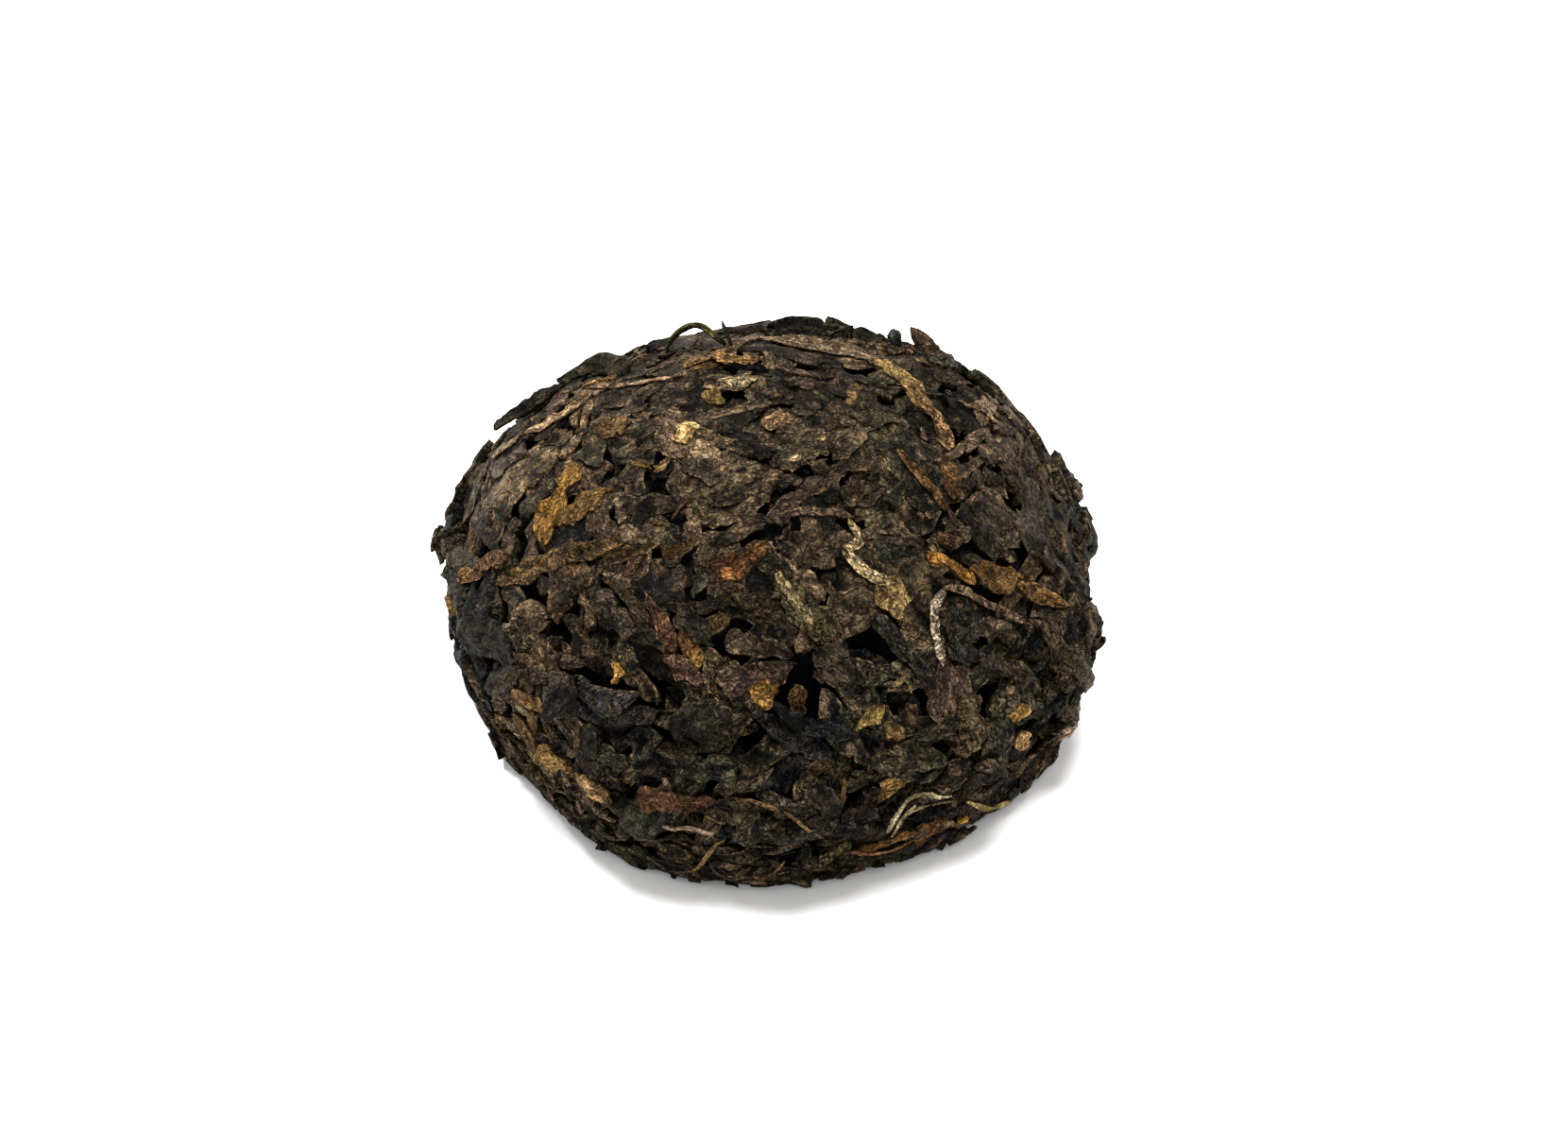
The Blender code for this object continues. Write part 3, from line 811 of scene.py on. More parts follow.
STEM = Look(
    "pale_stems", (2.0, 5.0), (0.22, 0.42), [(STEM_TAN, 2), (FIBRE_TAN, 3)], rolled=0.6,
    thick=(0.08, 0.14), crinkle=0.03, furrow=0.06, twist=0.0, point=0.6, tear=0.2, bend=0.12,
    stiff=0.8, root=0.12, step=0.1, under=0.6,
)
FIBRE = Look(
    "leaf_fibres", (1.2, 4.0), (0.1, 0.2), [(FIBRE_TAN, 3), (RUST, 1), (BARK_BROWN, 2)],
    rolled=1.0, thick=(0.05, 0.09), crinkle=0.01, furrow=0.0, point=0.7, tear=0.1, bend=0.25,
    stiff=0.5, set_in=0.06, root=0.07, step=0.12, under=0.6,
)
CRUMB = Look(
    "crumbs", (0.3, 1.0), (0.2, 0.6), CRUMB_MIX, thick=(0.1, 0.24), crown=0.08, droop=0.08,
    tilt=0.1, crumple=0.04, crinkle=0.03, furrow=0.02, tear=0.3, point=0.6, stiff=0.8, step=0.13,
    root=0.15,
)
LOOSE_BIT = Look(
    "loose_bits", (0.7, 1.8), (0.4, 1.0), RIM_MIX, thick=(0.1, 0.2), crown=0.05, droop=0.05,
    tilt=0.16, crumple=0.05, crinkle=0.03, furrow=0.03, tear=0.3, point=0.4, stiff=0.5, step=0.13,
    root=0.35, free=True, loose_end=0.25, set_in=0.1,
)
CROWN_STRIP = Look(
    "crown_strips", (2.6, 6.0), (0.4, 0.9),
    [(BARK_BROWN, 4), (LIGHT_BARK, 3), (UMBER, 2), (FIBRE_TAN, 1)],
    thick=(0.12, 0.22), crinkle=0.04, furrow=0.07, twist=0.1, tear=0.2, point=0.7, bend=0.08,
    stiff=0.4, heading=35,
)


def variant(look, **changes):
    """A look with a few of its values changed."""
    other = Look(look.piece, look.length, look.width, look.colours)
    other.__dict__.update(look.__dict__)
    other.__dict__.update(changes)
    return other


CHIP = variant(BUD, rolled=0.0, tear=0.3, point=0.7, crinkle=0.02)
PATCH = variant(BUD, rolled=0.1, tear=0.28, point=0.4, furrow=0.1, crumple=0.14, stiff=0.3)
PILLOW = variant(SIDE_PLATE, pleat=0.22, crumple=0.2, point=0.3, tilt=0.1, thick=(0.3, 0.4))
LUMP = variant(SIDE_PLATE, crown=0.3, droop=0.46, point=0.45, crumple=0.22, worn_smooth=0.35)
RIM_BIT = variant(LOOSE_BIT, length=(0.5, 1.2), width=(0.2, 0.45))

# What stands off the outline
FLAKE = variant(SIDE_PLATE, piece="standing_flakes", free=True, droop=0.0)
EDGE_FLAKE = variant(FLAKE, crumple=0.16, tear=0.3, worn_smooth=0.0, point=0.4)
TOP_FLAKE = variant(EDGE_FLAKE, lift=0.8, set_in=0.7)
LOW_TOP_FLAKE = variant(TOP_FLAKE, lift=0.4)
BACK_ROLL = variant(TOP_FLAKE, lift=0.35)
EDGE_ROLL = variant(TOP_FLAKE, lift=0.3)
SHOULDER_FLAKE = variant(EDGE_FLAKE, lift=0.3, set_in=0.4, worn_smooth=0.8)
SHOULDER_LUMP = variant(SHOULDER_FLAKE, lift=0.6)
LOW_FLAKE = variant(EDGE_FLAKE, lift=0.3, set_in=0.4)
LOOP = variant(CROWN_STRIP, piece="standing_flakes", arch=0.7, free=True, tear=0.1, furrow=0.03)
TWIG = variant(FIBRE, piece="standing_flakes", rise=0.7, free=True)
TOOTH = variant(TWIG, rise=0.3)
CURLED_UP = variant(RED_LEAF, piece="standing_flakes", lift=0.5, free=True, furrow=0.08, tear=0.2)

LAYERS = [  # look, region, how many, places tried for each
    (UNDER_LEAF, "under", 230, 12),
    (CROWN_PLATE, "crown", 130, 8),
    (SIDE_PLATE, "side", 70, 10),
    (RIM_LEAF, "rim", 190, 8),
    (CROWN_PLATE, "crown", 120, 7),
    (TWISTED, "side", 90, 10),
    (CROWN_SCRAP, "crown", 150, 8),
    (RIM_LEAF, "rim", 150, 6),
    (CROWN_STRIP, "crown", 34, 3),
    (RED_LEAF, "crown", 4, 4),
    (RED_LEAF, "side", 6, 4),
    (RED_LEAF, "rim", 8, 4),
    (BUD, "crown", 8, 3),
    (BUD, "side", 11, 3),
    (BUD, "rim", 8, 3),
]
LAST_LAYERS = [  # these lie round the leaves that stand out, not on them
    (TWISTED, "side", 34, 8),
    (CROWN_PLATE, "crown", 40, 2),
    (CROWN_SCRAP, "crown", 40, 4),
    (CROWN_STRIP, "crown", 24, 3),
    (SIDE_SCRAP, "side", 40, 6),
    (RIM_LEAF, "rim", 50, 3),
    (FIBRE, "side", 16, 3),
    (FIBRE, "rim", 34, 3),
    (FIBRE, "crown", 8, 3),
    (LOOSE_BIT, "crown", 26, 4),
    (LOOSE_BIT, "side", 18, 5),
    (RIM_BIT, "rim", 50, 4),
    (CRUMB, "crown", 150, 2),
    (CRUMB, "side", 90, 2),
    (CRUMB, "rim", 160, 2),
]

STANDING_FLAKES = [  # bearing, climb and heading in degrees; length, width and lift in mm
    (20, 22, 60, 2.8, 1.7, 0.3),
    (236, -12, 20, 2.2, 1.3, 0.3),
    (300, -16, 15, 3.0, 1.5, 0.25),
]

# Leaves that stand out in the photo: the pixels their middle line runs through, the width in mm
# and the colour
NAMED_LEAVES = {
    # Big leaves of the front
    "olive pillow leaf": (PILLOW, [(815, 596), (850, 640), (884, 690)], 1.45, "625739"),
    "pillow leaf's foot": (LUMP, [(862, 690), (902, 722)], 1.5, "3f362b"),
    # A pale patch laid on the pillow leaf's fold as painted sheen
    "pillow's bright fold": (PATCH, [(822, 608), (838, 634), (856, 662)], 0.45, "b29c6e"),
    "dark leaf at the left edge": (LUMP, [(474, 566), (480, 612)], 1.1, "24221c"),
    "dark leaf under the long one": (LUMP, [(498, 596), (512, 634)], 1.3, "2c2b24"),
    "long brown and gold leaf": (TWISTED, [(535, 618), (590, 594), (664, 577)], 1.15, "705732"),
    "left edge leaf": (TWISTED, [(480, 552), (494, 582), (520, 600)], 0.8, "443c27"),
    "orange strip left": (STEM, [(508, 613), (548, 589)], 0.8, "86603c"),
    "dark lump": (LUMP, [(514, 650), (566, 694)], 1.7, "29251c"),
    "brown lump": (LUMP, [(556, 648), (590, 656)], 1.2, "554330"),
    "small brown leaf": (SIDE_PLATE, [(630, 632), (676, 672)], 1.0, "473c2f"),
    "dark plate left": (LUMP, [(622, 715), (606, 748)], 1.7, "312c26"),
    "lower left leaf": (TWISTED, [(538, 722), (575, 702)], 0.9, "483d29"),
    "reddish leaf": (RED_LEAF, [(686, 632), (708, 672), (716, 704)], 1.05, "6a4a34"),
    "reddish leaf's tip": (RED_LEAF, [(706, 694), (722, 708), (742, 724)], 0.7, "94705a"),
    "dark leaf middle": (SIDE_PLATE, [(722, 642), (752, 680)], 1.4, "2e2b22"),
    "brown leaf middle": (LUMP, [(790, 650), (806, 632)], 1.3, "443824"),
    "lit olive plate": (PILLOW, [(716, 760), (776, 756)], 1.7, "352f1f"),
    "dark cup leaf": (LUMP, [(690, 800), (684, 762)], 1.2, "34332e"),
    "banded leaf": (PILLOW, [(725, 800), (785, 802)], 1.3, "3d3b2e"),
    "wide olive leaf": (SIDE_PLATE, [(922, 790), (992, 797)], 1.0, "47422d"),
    "olive hoop leaf": (TWISTED, [(906, 722), (928, 708), (956, 712)], 0.6, "46412e"),
    "smooth dark leaf": (LUMP, [(1018, 640), (1012, 706)], 1.5, "2e2e29"),
    "dark strip": (TWISTED, [(922, 652), (950, 688), (982, 726)], 0.85, "312e2b"),
    "black strip": (TWISTED, [(800, 752), (830, 772), (872, 790)], 0.8, "2d2c2b"),
    "black strip two": (TWISTED, [(818, 742), (848, 762), (890, 768)], 0.6, "272a28"),
    "striated leaf": (TWISTED, [(1016, 732), (1020, 756), (1028, 784)], 1.3, "6b593e"),
    "right curved leaf": (TWISTED, [(1088, 655), (1106, 690), (1132, 722)], 1.0, "443a27"),
    "brown leaf right": (SIDE_PLATE, [(1030, 700), (1075, 716)], 0.8, "342b24"),
    "pink patch": (SIDE_PLATE, [(1106, 766), (1132, 752)], 1.2, "b8967a"),
    "blue-black plate": (CROWN_PLATE, [(925, 580), (955, 588)], 1.5, "33342d"),
    # Gold and tan
    "bright chip": (CHIP, [(715, 456), (742, 458)], 0.55, "ffda96"),
    "bright chip's point": (CHIP, [(728, 453), (728, 471)], 0.95, "fccf8a"),
    "golden patch": (PATCH, [(608, 498), (592, 534), (580, 574)], 1.35, "876128"),
    "golden patch wing": (PATCH, [(590, 560), (612, 540), (646, 524)], 1.1, "7b5a2c"),
    "gold patch right": (PATCH, [(980, 586), (1008, 600), (1026, 620)], 0.85, "9d6f32"),
    "gold patch right two": (PATCH, [(1026, 608), (1072, 614)], 1.1, "6e4f25"),
    "gold streak right": (TWISTED, [(1070, 622), (1092, 630), (1112, 642)], 0.75, "7f5b2f"),
    "brown flake right": (SIDE_PLATE, [(988, 568), (1016, 576)], 0.8, "5b3e26"),
    "tan block": (PATCH, [(948, 618), (946, 636), (950, 652)], 1.2, "9c7f52"),
    "pale hook": (
        STEM, [(897, 552), (907, 574), (896, 586), (916, 608), (944, 620)], 0.5, "baa074",
    ),
    # A dark leaf laid along the hooked stem as its painted shadow
    "hooked stem's shade": (TWISTED, [(1002, 690), (1002, 660), (1006, 640)], 0.45, "302b23"),
    "hooked stem": (STEM, [(991, 704), (986, 668), (986, 642), (998, 624)], 0.34, "dcc6a8"),
    "hooked stem's arm": (STEM, [(994, 624), (1012, 625), (1042, 642), (1088, 662)], 0.3, "967a60"),
    "pale curl right": (STEM, [(1130, 612), (1142, 616), (1148, 640)], 0.3, "f8e0a4"),
    "gold in the curl": (PATCH, [(1128, 622), (1138, 646)], 0.8, "b87c36"),
    "gold spot": (CHIP, [(793, 730), (824, 732)], 0.95, "9a7238"),
    "gold bit one": (BUD, [(896, 764), (922, 740)], 0.6, "ba9e59"),
    "gold bit two": (BUD, [(922, 755), (946, 774)], 0.6, "8e7040"),
    "gold bit three": (BUD, [(1052, 750), (1076, 748)], 0.75, "c8964e"),
    "gold bit four": (CHIP, [(1070, 790), (1082, 768)], 0.7, "efbe79"),
    "curl": (STEM, [(926, 726), (944, 714), (952, 728)], 0.3, "7f6d48"),
    "orange curl": (CURLED_UP, [(750, 597), (772, 606), (790, 596), (812, 580)], 0.85, "7a5230"),
    "orange curl's lip": (CHIP, [(764, 608), (786, 616)], 0.55, "b4743c"),
    "gold patch left": (PATCH, [(655, 722), (664, 700)], 0.6, "ba8d43"),
    "gold patch lower left": (PATCH, [(562, 730), (602, 744)], 0.75, "a88048"),
    "pale tip lower left": (CHIP, [(566, 740), (580, 748)], 0.35, "d8bc8a"),
    "gold speck one": (CHIP, [(672, 492), (690, 498)], 0.45, "7d6437"),
    "gold speck two": (CHIP, [(694, 502), (710, 488)], 0.4, "84683f"),
    "tan speck": (CHIP, [(836, 492), (846, 486)], 0.4, "d8bc8b"),
    "tan speck two": (CHIP, [(864, 470), (874, 466)], 0.35, "c5a976"),
    "rust leaf": (RED_LEAF, [(664, 610), (680, 590)], 0.6, "553c2a"),
    # Stems and fibres over the crown
    "long stem": (STEM, [(806, 362), (850, 370), (905, 380), (940, 398)], 0.7, "947c5e"),
    "long stem's bend": (PATCH, [(925, 388), (958, 408), (980, 438)], 0.85, "a08048"),
    "long stem's fall": (STEM, [(968, 424), (990, 450), (1001, 482)], 0.7, "a07c50"),
    "stem's end": (BUD, [(998, 488), (1003, 506), (1008, 530)], 0.9, "6c4e2d"),
    "orange-brown streak": (STEM, [(948, 482), (970, 504), (1000, 542)], 0.6, "8a6438"),
    "brown line right": (FIBRE, [(995, 530), (1012, 562)], 0.3, "503d31"),
    "stem right": (STEM, [(1012, 430), (1036, 437), (1050, 452)], 0.35, "b89a74"),
    "thin fibre left": (STEM, [(622, 417), (662, 412), (712, 406)], 0.35, "9c7c5e"),
    "tan leaf left": (PATCH, [(622, 416), (652, 394)], 0.7, "bc9258"),
    "pale streak left": (STEM, [(562, 464), (590, 449), (618, 431)], 0.7, "ac8c66"),
    "pale streak left two": (STEM, [(518, 480), (560, 464)], 0.6, "977f5e"),
    "grey streak left": (TWISTED, [(525, 500), (562, 486)], 0.9, "5f4d3a"),
    "brown-gold left": (PATCH, [(632, 462), (668, 452)], 1.2, "624829"),
    "tan strip one": (STEM, [(726, 398), (746, 388), (770, 377)], 0.8, "8f6d43"),
    "tan strip two": (STEM, [(756, 389), (780, 385), (806, 383)], 0.8, "a87e4a"),
    "tan strip three": (STEM, [(756, 416), (778, 412), (802, 405)], 0.7, "96805e"),
    "gold strip four": (PATCH, [(744, 418), (766, 430)], 0.7, "876c3c"),
    "brown strip five": (STEM, [(806, 453), (822, 450), (838, 447)], 0.8, "8d6f4f"),
    "olive patch": (CROWN_PLATE, [(898, 445), (950, 440)], 1.4, "554d35"),
    "brown roll at the back": (LUMP, [(916, 374), (972, 376)], 1.1, "564230"),
    "dark roll at the back": (LUMP, [(982, 388), (1010, 392)], 0.9, "403c2e"),
    # The rim
    "rim tan flake": (PATCH, [(534, 760), (556, 768)], 0.8, "b89a6c"),
    "rim gold flake one": (PATCH, [(588, 790), (614, 806)], 1.0, "9c7a46"),
    "rim gold flake two": (PATCH, [(626, 810), (640, 824), (656, 838)], 0.75, "c09766"),
    "rim red strip": (RED_LEAF, [(684, 834), (722, 832), (762, 836)], 0.8, "7c5238"),
    "rim pale line": (FIBRE, [(712, 854), (736, 858), (760, 862)], 0.22, "d4b08c"),
    "rim gold bit": (BUD, [(1010, 866), (1020, 858)], 0.5, "ddad43"),
    "rim olive flake": (SIDE_PLATE, [(872, 908), (894, 884)], 0.9, "4f4728"),
    "fibre bundle one": (STEM, [(934, 872), (950, 846), (970, 833), (1000, 833)], 0.24, "e8d6a4"),
    "fibre bundle two": (STEM, [(942, 872), (958, 850), (980, 842), (1004, 840)], 0.2, "a59267"),
    "fibre bundle three": (FIBRE, [(936, 864), (956, 838), (978, 828)], 0.16, "ecdaa6"),
    "fibre bundle four": (FIBRE, [(938, 876), (948, 856), (962, 842)], 0.16, "f0dcae"),
    "ragged fibres one": (PATCH, [(905, 896), (935, 884), (968, 874)], 0.4, "855e30"),
    "ragged fibres two": (FIBRE, [(890, 890), (930, 894), (965, 880)], 0.2, "98683e"),
    "ragged fibres three": (FIBRE, [(1016, 842), (1040, 850), (1066, 840)], 0.25, "c7ad6c"),
    # What stands off the outline
    "top flake": (TOP_FLAKE, [(820, 358), (846, 352), (870, 358)], 1.3, "222119"),
    "back roll right": (BACK_ROLL, [(962, 376), (1000, 390)], 1.2, "5a4834"),
    "back roll far right": (BACK_ROLL, [(1008, 396), (1052, 424)], 1.1, "2e3022"),
    "right edge roll": (EDGE_ROLL, [(1092, 448), (1120, 486)], 1.1, "342f1f"),
    "top flake right": (LOW_TOP_FLAKE, [(874, 362), (900, 362), (932, 368)], 1.3, "292920"),
    "top tooth right": (TOOTH, [(950, 378), (942, 366)], 0.6, "2a291d"),
    "loop": (LOOP, [(706, 376), (738, 366), (770, 368)], 0.5, "6a612a"),
    "twig": (TWIG, [(776, 372), (768, 362)], 0.22, "2c2517"),
    "upper left lump": (SHOULDER_LUMP, [(600, 412), (630, 396), (664, 392)], 1.1, "3e3624"),
    "shoulder flake": (SHOULDER_FLAKE, [(528, 450), (556, 430), (598, 418)], 1.2, "262116"),
    "left gold edge": (PATCH, [(470, 622), (472, 660)], 0.9, "8a6b3c"),
    "low spike": (TWIG, [(720, 916), (722, 932)], 0.35, "1c1910"),
    "low edge flake": (LOW_FLAKE, [(612, 872), (640, 896)], 0.9, "3f3522"),
}


def lay_standing_flakes(nest):
    """Lays the flakes that stand off the outline all round, each at its bearing and climb."""
    form = nest.form
    heart = Vector((0, 0, RIM_LEVEL))
    for bearing, climb, heading, length, width, lift in STANDING_FLAKES:
        turn, rise = math.radians(bearing), math.radians(climb)
        way = (math.cos(rise) * math.cos(turn), math.cos(rise) * math.sin(turn), math.sin(rise))
        place, _, _, _ = form.tree.ray_cast(heart, Vector(way))
        spot = int(np.argmin(np.linalg.norm(form.spots - np.array(place), axis=1)))
        nest.lay(variant(FLAKE, lift=lift), nest.line_at(spot, heading, length), width)


def lay_named_leaves(nest):
    """Lays the leaves that stand out in the photo.

    Each makes its own random draws from its name, so that one can change without the others.
    """
    shared = nest.rng
    for name, (look, pixels, width, colour) in NAMED_LEAVES.items():
        nest.rng = random.Random(name)
        line = [nest.form.seen_at(pixel) for pixel in pixels]
        nest.lay(variant(look, bend=0.0), line, width, colour, on_top=True)
        nest.kept_clear[nest.leaves[-1].spots] = True
    nest.rng = shared


def build_nest():
    nest = Nest()
    for look, region, count, picks in LAYERS:
        nest.scatter(look, region, count, picks)
    lay_standing_flakes(nest)
    lay_named_leaves(nest)
    for look, region, count, picks in LAST_LAYERS:
        nest.scatter(look, region, count, picks)
    return nest


# Meshes

SHARP_EDGE = 52  # degrees
CAP_FAN = 2  # the root's middle point, counted from the end of a row


def faces_of(leaves):
    """The faces of the leaves' joined skins: quads along each, and a fan that closes each end."""
    quads, fans, first = [], [], 0
    for leaf in leaves:
        rows, size = leaf.points.shape[:2]
        grid = first + np.arange(rows * size).reshape(rows, size)
        first += rows * size
        beside = np.roll(grid, -1, axis=1)
        sides = np.stack([grid[:-1], beside[:-1], beside[1:], grid[1:]], axis=-1)
        quads.append(sides.reshape(-1, 4))
        hub = size - CAP_FAN
        for row, turn in ((0, -1), (rows - 1, 1)):
            for i in range(size):
                if i not in (hub, (hub - 1) % size):
                    fans.append([grid[row, hub], grid[row, i], beside[row, i]][::turn])
    return np.concatenate(quads), np.array(fans)


def mesh_of(name, points, quads, triangles, colours, flat):
    """A mesh from arrays in mm, with each point's leaf colour and its place along the leaf."""
    mesh = bpy.data.meshes.new(name)
    loops = np.concatenate([quads.ravel(), triangles.ravel()])
    sizes = np.concatenate([np.full(len(quads), 4), np.full(len(triangles), 3)])
    mesh.vertices.add(len(points))
    mesh.vertices.foreach_set("co", (points * M).ravel().astype(np.float32))
    mesh.loops.add(len(loops))
    mesh.loops.foreach_set("vertex_index", loops.astype(np.int32))
    mesh.polygons.add(len(sizes))
    starts = np.concatenate([[0], np.cumsum(sizes)[:-1]])
    mesh.polygons.foreach_set("loop_start", starts.astype(np.int32))
    mesh.polygons.foreach_set("use_smooth", np.ones(len(sizes), dtype=bool))
    mesh.update(calc_edges=True)
    mesh.set_sharp_from_angle(angle=math.radians(SHARP_EDGE))
    paint = mesh.color_attributes.new("leaf_colour", "FLOAT_COLOR", "POINT")
    filled = np.column_stack([colours, np.ones(len(colours))])
    paint.data.foreach_set("color", filled.ravel().astype(np.float32))
    along = mesh.uv_layers.new(name="along_leaf")
    along.data.foreach_set("uv", flat[loops].ravel().astype(np.float32))
    return mesh


def add_piece(name, mesh, material):
    """Puts a finished piece in the scene, riding on the nest's one body."""
    obj = bpy.data.objects.new(name, mesh)
    bpy.context.scene.collection.objects.link(obj)
    mesh.materials.append(material)
    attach(obj, "root")
    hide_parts("tea_nest")


def make_core(nest):
    """The matted body under the leaves, darker where it is sunk deep."""
    form = nest.form
    points = form.spots + form.normals * form.core[:, None]
    points[:, 2] = pressed_on_floor(points[:, 2])
    shade = 0.5 + 0.5 * smooth(form.core, -1.0, -0.4)[:, None]
    colours = leaf_tone(DARK_UMBER) * shade
    no_quads = np.zeros((0, 4), dtype=int)
    mesh = mesh_of("nest_core", points, no_quads, form.faces, colours, points[:, :2])
    # The core shows only in gaps: dull and cracked, it reads as more leaf further in
    add_piece("nest_core", mesh, leaf_material("matted tea core", roughness=0.8, shine=0.05))


def make_leaves(nest):
    """One piece for each kind of leaf."""
    plain, others = leaf_materials()
    kinds = {}
    for leaf in nest.seen():
        kinds.setdefault(leaf.piece, []).append(leaf)
    for piece, leaves in kinds.items():
        quads, triangles = faces_of(leaves)
        points = np.concatenate([leaf.points.reshape(-1, 3) for leaf in leaves])
        colours = np.concatenate([leaf.colours for leaf in leaves])
        flat = np.concatenate([leaf.flat.reshape(-1, 2) for leaf in leaves])
        mesh = mesh_of(piece, points, quads, triangles, colours, flat)
        add_piece(piece, mesh, others.get(piece, plain))


# Materials

LUMP_GRAIN = 0.5  # sizes of the textures' bumps and cells, in mm
FINE_GRAIN = 0.12
FOLD_GAP = 0.34
HAIR_GAP = 0.13
WIDE_CELL = 0.95
FINE_CELL = 0.4
WANDER_SIZE = 0.5
WANDER_REACH = 0.9


def add(tree, kind, settings=(), **links):
    """Adds a node. Each link is a value or another node's output, named as its input is."""
    node = tree.nodes.new(kind)
    for name, value in dict(settings).items():
        setattr(node, name, value)
    for name, value in links.items():
        socket = node.inputs[int(name[1:])] if name[1:].isdigit() else node.inputs[name]
        if isinstance(value, bpy.types.NodeSocket):
            tree.links.new(value, socket)
        else:
            socket.default_value = value
    return node


def leaf_material(name, roughness=0.66, crease_depth_and_shade=0.4, crack_depth_and_shade=0.75, shine=0.03):
    """Leaf with a crackled, leathery grain, in the colours painted on its points.

    Its hollows are painted nearly black as shade and its raised grain is the leaf's own brown with
    painted glints of highlight, which gives the eye dry, shrivelled leaf where a plain colour would
    read as a cut-out. Streaks run along the leaf.
    """
    material = bpy.data.materials.new(name)
    material.use_nodes = True
    tree = material.node_tree
    shader = tree.nodes["Principled BSDF"]

    def vector(operation, first, **second):
        settings = {"operation": operation}
        return add(tree, "ShaderNodeVectorMath", settings, _0=first, **second).outputs[0]

    def maths(operation, first, second):
        return add(tree, "ShaderNodeMath", {"operation": operation}, _0=first, _1=second).outputs[0]

    def span(value, start, end, low, high):
        """The value from start to end, turned to low to high."""
        ends = {"From Min": start, "From Max": end, "To Min": low, "To Max": high}
        return add(tree, "ShaderNodeMapRange", Value=value, **ends).outputs[0]

    def combined(operation, textures):
        """Textures of 0 to 1, each turned to its low to high, added or multiplied together."""
        parts = [span(texture, 0, 1, low, high) for texture, low, high in textures]
        total = parts[0]
        for part in parts[1:]:
            total = maths(operation, total, part)
        return total

    def bumps(at, size, detail=2.0):
        """Noise with bumps of that size in mm, from 0 to 1."""
        texture = add(tree, "ShaderNodeTexNoise", Vector=at, Scale=1 / size, Detail=detail)
        return span(texture.outputs[0], 0.28, 0.72, 0.0, 1.0)

    def creases(at, gap):
        """Thin winding valleys, about that far apart in mm: 0 in them and 1 between."""
        texture = add(tree, "ShaderNodeTexNoise", Vector=at, Scale=1 / gap, Detail=1.5)
        slope = maths("ABSOLUTE", maths("SUBTRACT", texture.outputs[0], 0.5), 0.0)
        return span(slope, 0.0, 0.07, 0.0, 1.0)

    def crackle(at, size, width):
        """0 in the cracks between cells of that size in mm, and 1 beyond their width."""
        feature = {"feature": "DISTANCE_TO_EDGE"}
        cells = add(tree, "ShaderNodeTexVoronoi", feature, Vector=at, Scale=1 / size)
        return span(cells.outputs["Distance"], 0.0, width / size, 0.0, 1.0)

    def drawn(share):
        """Places along the leaf squeezed to that share, which makes a texture longer there."""
        return vector("MULTIPLY", warped, _1=(share, 1, 1))

    where = add(tree, "ShaderNodeTexCoord").outputs["Object"]
    in_mm = vector("SCALE", where, Scale=1 / M)
    along = add(tree, "ShaderNodeUVMap", {"uv_map": "along_leaf"}).outputs[0]
    wander = add(tree, "ShaderNodeTexNoise", Vector=in_mm, Scale=1 / WANDER_SIZE, Detail=1.0)
    shift = vector("SUBTRACT", wander.outputs["Color"], _1=(0.5, 0.5, 0.5))
    warped = vector("ADD", along, _1=vector("SCALE", shift, Scale=WANDER_REACH))

    lumps = bumps(in_mm, LUMP_GRAIN)
    grain = bumps(in_mm, FINE_GRAIN, 3.0)
    glints = maths("POWER", grain, 2.0)
    folds = creases(drawn(0.3), FOLD_GAP)
    hairs = creases(drawn(0.2), HAIR_GAP)
    wide = crackle(drawn(0.6), WIDE_CELL, 0.08)
    fine = crackle(warped, FINE_CELL, 0.06)

    # The folds, hairs and cracks paint shade into the hollows that the bump makes; the glints paint
    # highlight on the grain's peaks
    shades = [  # each texture's darkest and lightest, as shares of the leaf's colour
        (lumps, 0.6, 1.3),
        (glints, 0.55, 2.4),
        (folds, 1 - 1.6 * crease_depth_and_shade, 1 + 0.3 * crease_depth_and_shade),
        (hairs, 1 - crease_depth_and_shade, 1 + 0.4 * crease_depth_and_shade),
        (wide, 1 - crack_depth_and_shade, 1),
        (fine, 1 - 0.5 * crack_depth_and_shade, 1),
    ]
    levels = [  # and its lowest and highest, in mm
        (lumps, 0, 0.12),
        (grain, 0, 0.05),
        (folds, -0.26 * crease_depth_and_shade, 0),
        (hairs, -0.11 * crease_depth_and_shade, 0),
        (wide, -0.1 * crack_depth_and_shade, 0),
        (fine, -0.05 * crack_depth_and_shade, 0),
    ]
    paint = add(tree, "ShaderNodeAttribute", {"attribute_name": "leaf_colour"}).outputs["Color"]
    colour = vector("SCALE", paint, Scale=combined("MULTIPLY", shades))
    height = combined("ADD", levels)
    raised = add(tree, "ShaderNodeBump", Strength=1.0, Distance=M, Height=height).outputs[0]
    tree.links.new(colour, shader.inputs["Base Color"])
    tree.links.new(raised, shader.inputs["Normal"])
    tree.links.new(span(lumps, 0, 1, roughness + 0.1, roughness - 0.1), shader.inputs["Roughness"])
    shader.inputs["Specular IOR Level"].default_value = shine
    return material


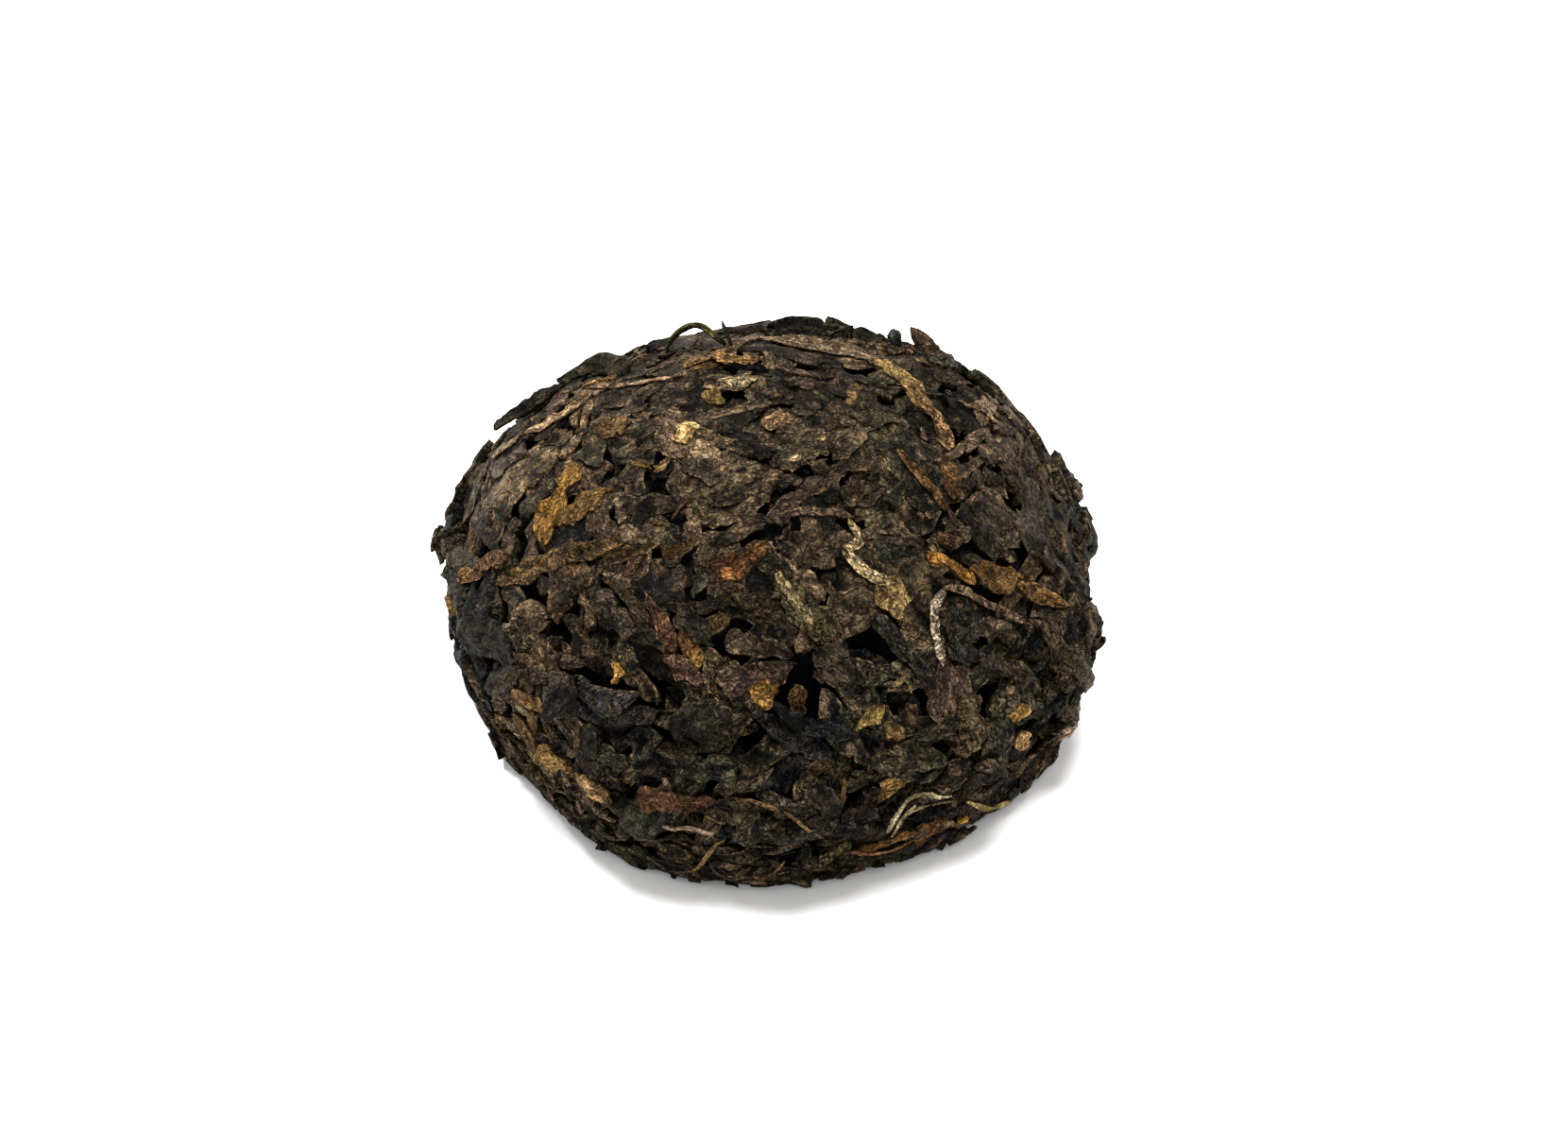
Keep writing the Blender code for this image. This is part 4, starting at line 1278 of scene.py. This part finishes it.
def leaf_materials():
    """The plain leaf's material, and those of the pieces that have another."""
    # Cracked all over and dull, as leaf that was pressed and dried: the crust of the crown
    plain = leaf_material("fermented tea leaf")
    # Long furrows with painted shade in them and a faint gloss between them, which read as leaf
    # rolled by hand
    rolled = leaf_material("rolled tea leaf", roughness=0.6, crease_depth_and_shade=0.6, crack_depth_and_shade=0.25, shine=0.04)
    # Drawn-out streaks with hardly a crack, which read as a bud's down
    bud = leaf_material("golden tea bud", crease_depth_and_shade=0.45, crack_depth_and_shade=0.2)
    # Fewer cracks than the plain leaf, so that its red shows as one warm patch
    red_leaf = leaf_material("red-brown tea leaf", crease_depth_and_shade=0.5, crack_depth_and_shade=0.5)
    # Clean streaks from end to end, which read as wood
    stem = leaf_material("dry tea stem", crease_depth_and_shade=0.6, crack_depth_and_shade=0.15)
    # Nearly even, since a fibre is too thin to show a grain
    fibre = leaf_material("leaf fibre", crease_depth_and_shade=0.3, crack_depth_and_shade=0.1)
    # The dullest, with streaks and cracks alike, which reads as ragged edges seen end on
    edge = leaf_material("torn leaf edge", roughness=0.72, crease_depth_and_shade=0.5, crack_depth_and_shade=0.5, shine=0.02)
    return plain, {
        "golden_tips": bud,
        "red_brown_leaves": red_leaf,
        "pale_stems": stem,
        "leaf_fibres": fibre,
        "rim_leaves": edge,
        "twisted_leaves": rolled,
        "side_leaves": rolled,
        "side_scraps": rolled,
    }


def floor_material():
    """Plain white paper, matt: it throws light up under the nest and shows only soft shadow."""
    material = bpy.data.materials.new("white paper")
    material.use_nodes = True
    shader = material.node_tree.nodes["Principled BSDF"]
    shader.inputs["Base Color"].default_value = (0.9, 0.9, 0.895, 1)
    shader.inputs["Roughness"].default_value = 0.9
    return material


# The setting

FLOOR_HALF = 1.5  # of the floor's width, in metres
FLOOR_GAP = 0.01  # under the nest, in mm
SKY_STRENGTH = 0.36
LIGHTS = [  # name, place and width in mm, watts, tint
    ("soft box above", (30, 20, 600), 260, 2.2, (1.0, 0.985, 0.96)),
    ("window behind left", (-300, 330, 330), 100, 1.5, (0.98, 0.99, 1.0)),
]


def make_floor():
    mesh = bpy.data.meshes.new("floor")
    corners = [(-1, -1), (1, -1), (1, 1), (-1, 1)]
    mesh.from_pydata([(FLOOR_HALF * x, FLOOR_HALF * y, 0) for x, y in corners], [], [(0, 1, 2, 3)])
    mesh.materials.append(floor_material())
    floor = bpy.data.objects.new("floor", mesh)
    floor.location.z = -FLOOR_GAP * M
    bpy.context.scene.collection.objects.link(floor)


def make_light(name, place, width, watts, tint):
    """A round soft light, turned to the nest."""
    data = bpy.data.lights.new(name, "AREA")
    data.shape = "DISK"
    data.size = width * M
    data.energy = watts
    data.color = tint
    light = bpy.data.objects.new(name, data)
    light.location = Vector(place) * M
    light.rotation_euler = Vector(place).to_track_quat("Z", "Y").to_euler()
    bpy.context.scene.collection.objects.link(light)


def make_setting():
    scene = bpy.context.scene
    scene.view_settings.view_transform = "Standard"
    scene.view_settings.exposure = math.log2(PAPER_GLARE)
    world = bpy.data.worlds.new("studio")
    scene.world = world
    world.use_nodes = True
    background = world.node_tree.nodes["Background"]
    background.inputs["Color"].default_value = (1.0, 1.0, 1.0, 1)
    background.inputs["Strength"].default_value = SKY_STRENGTH
    for light in LIGHTS:
        make_light(*light)
    make_floor()
    make_camera()


def main():
    nest = build_nest()
    make_core(nest)
    make_leaves(nest)
    make_setting()


main()
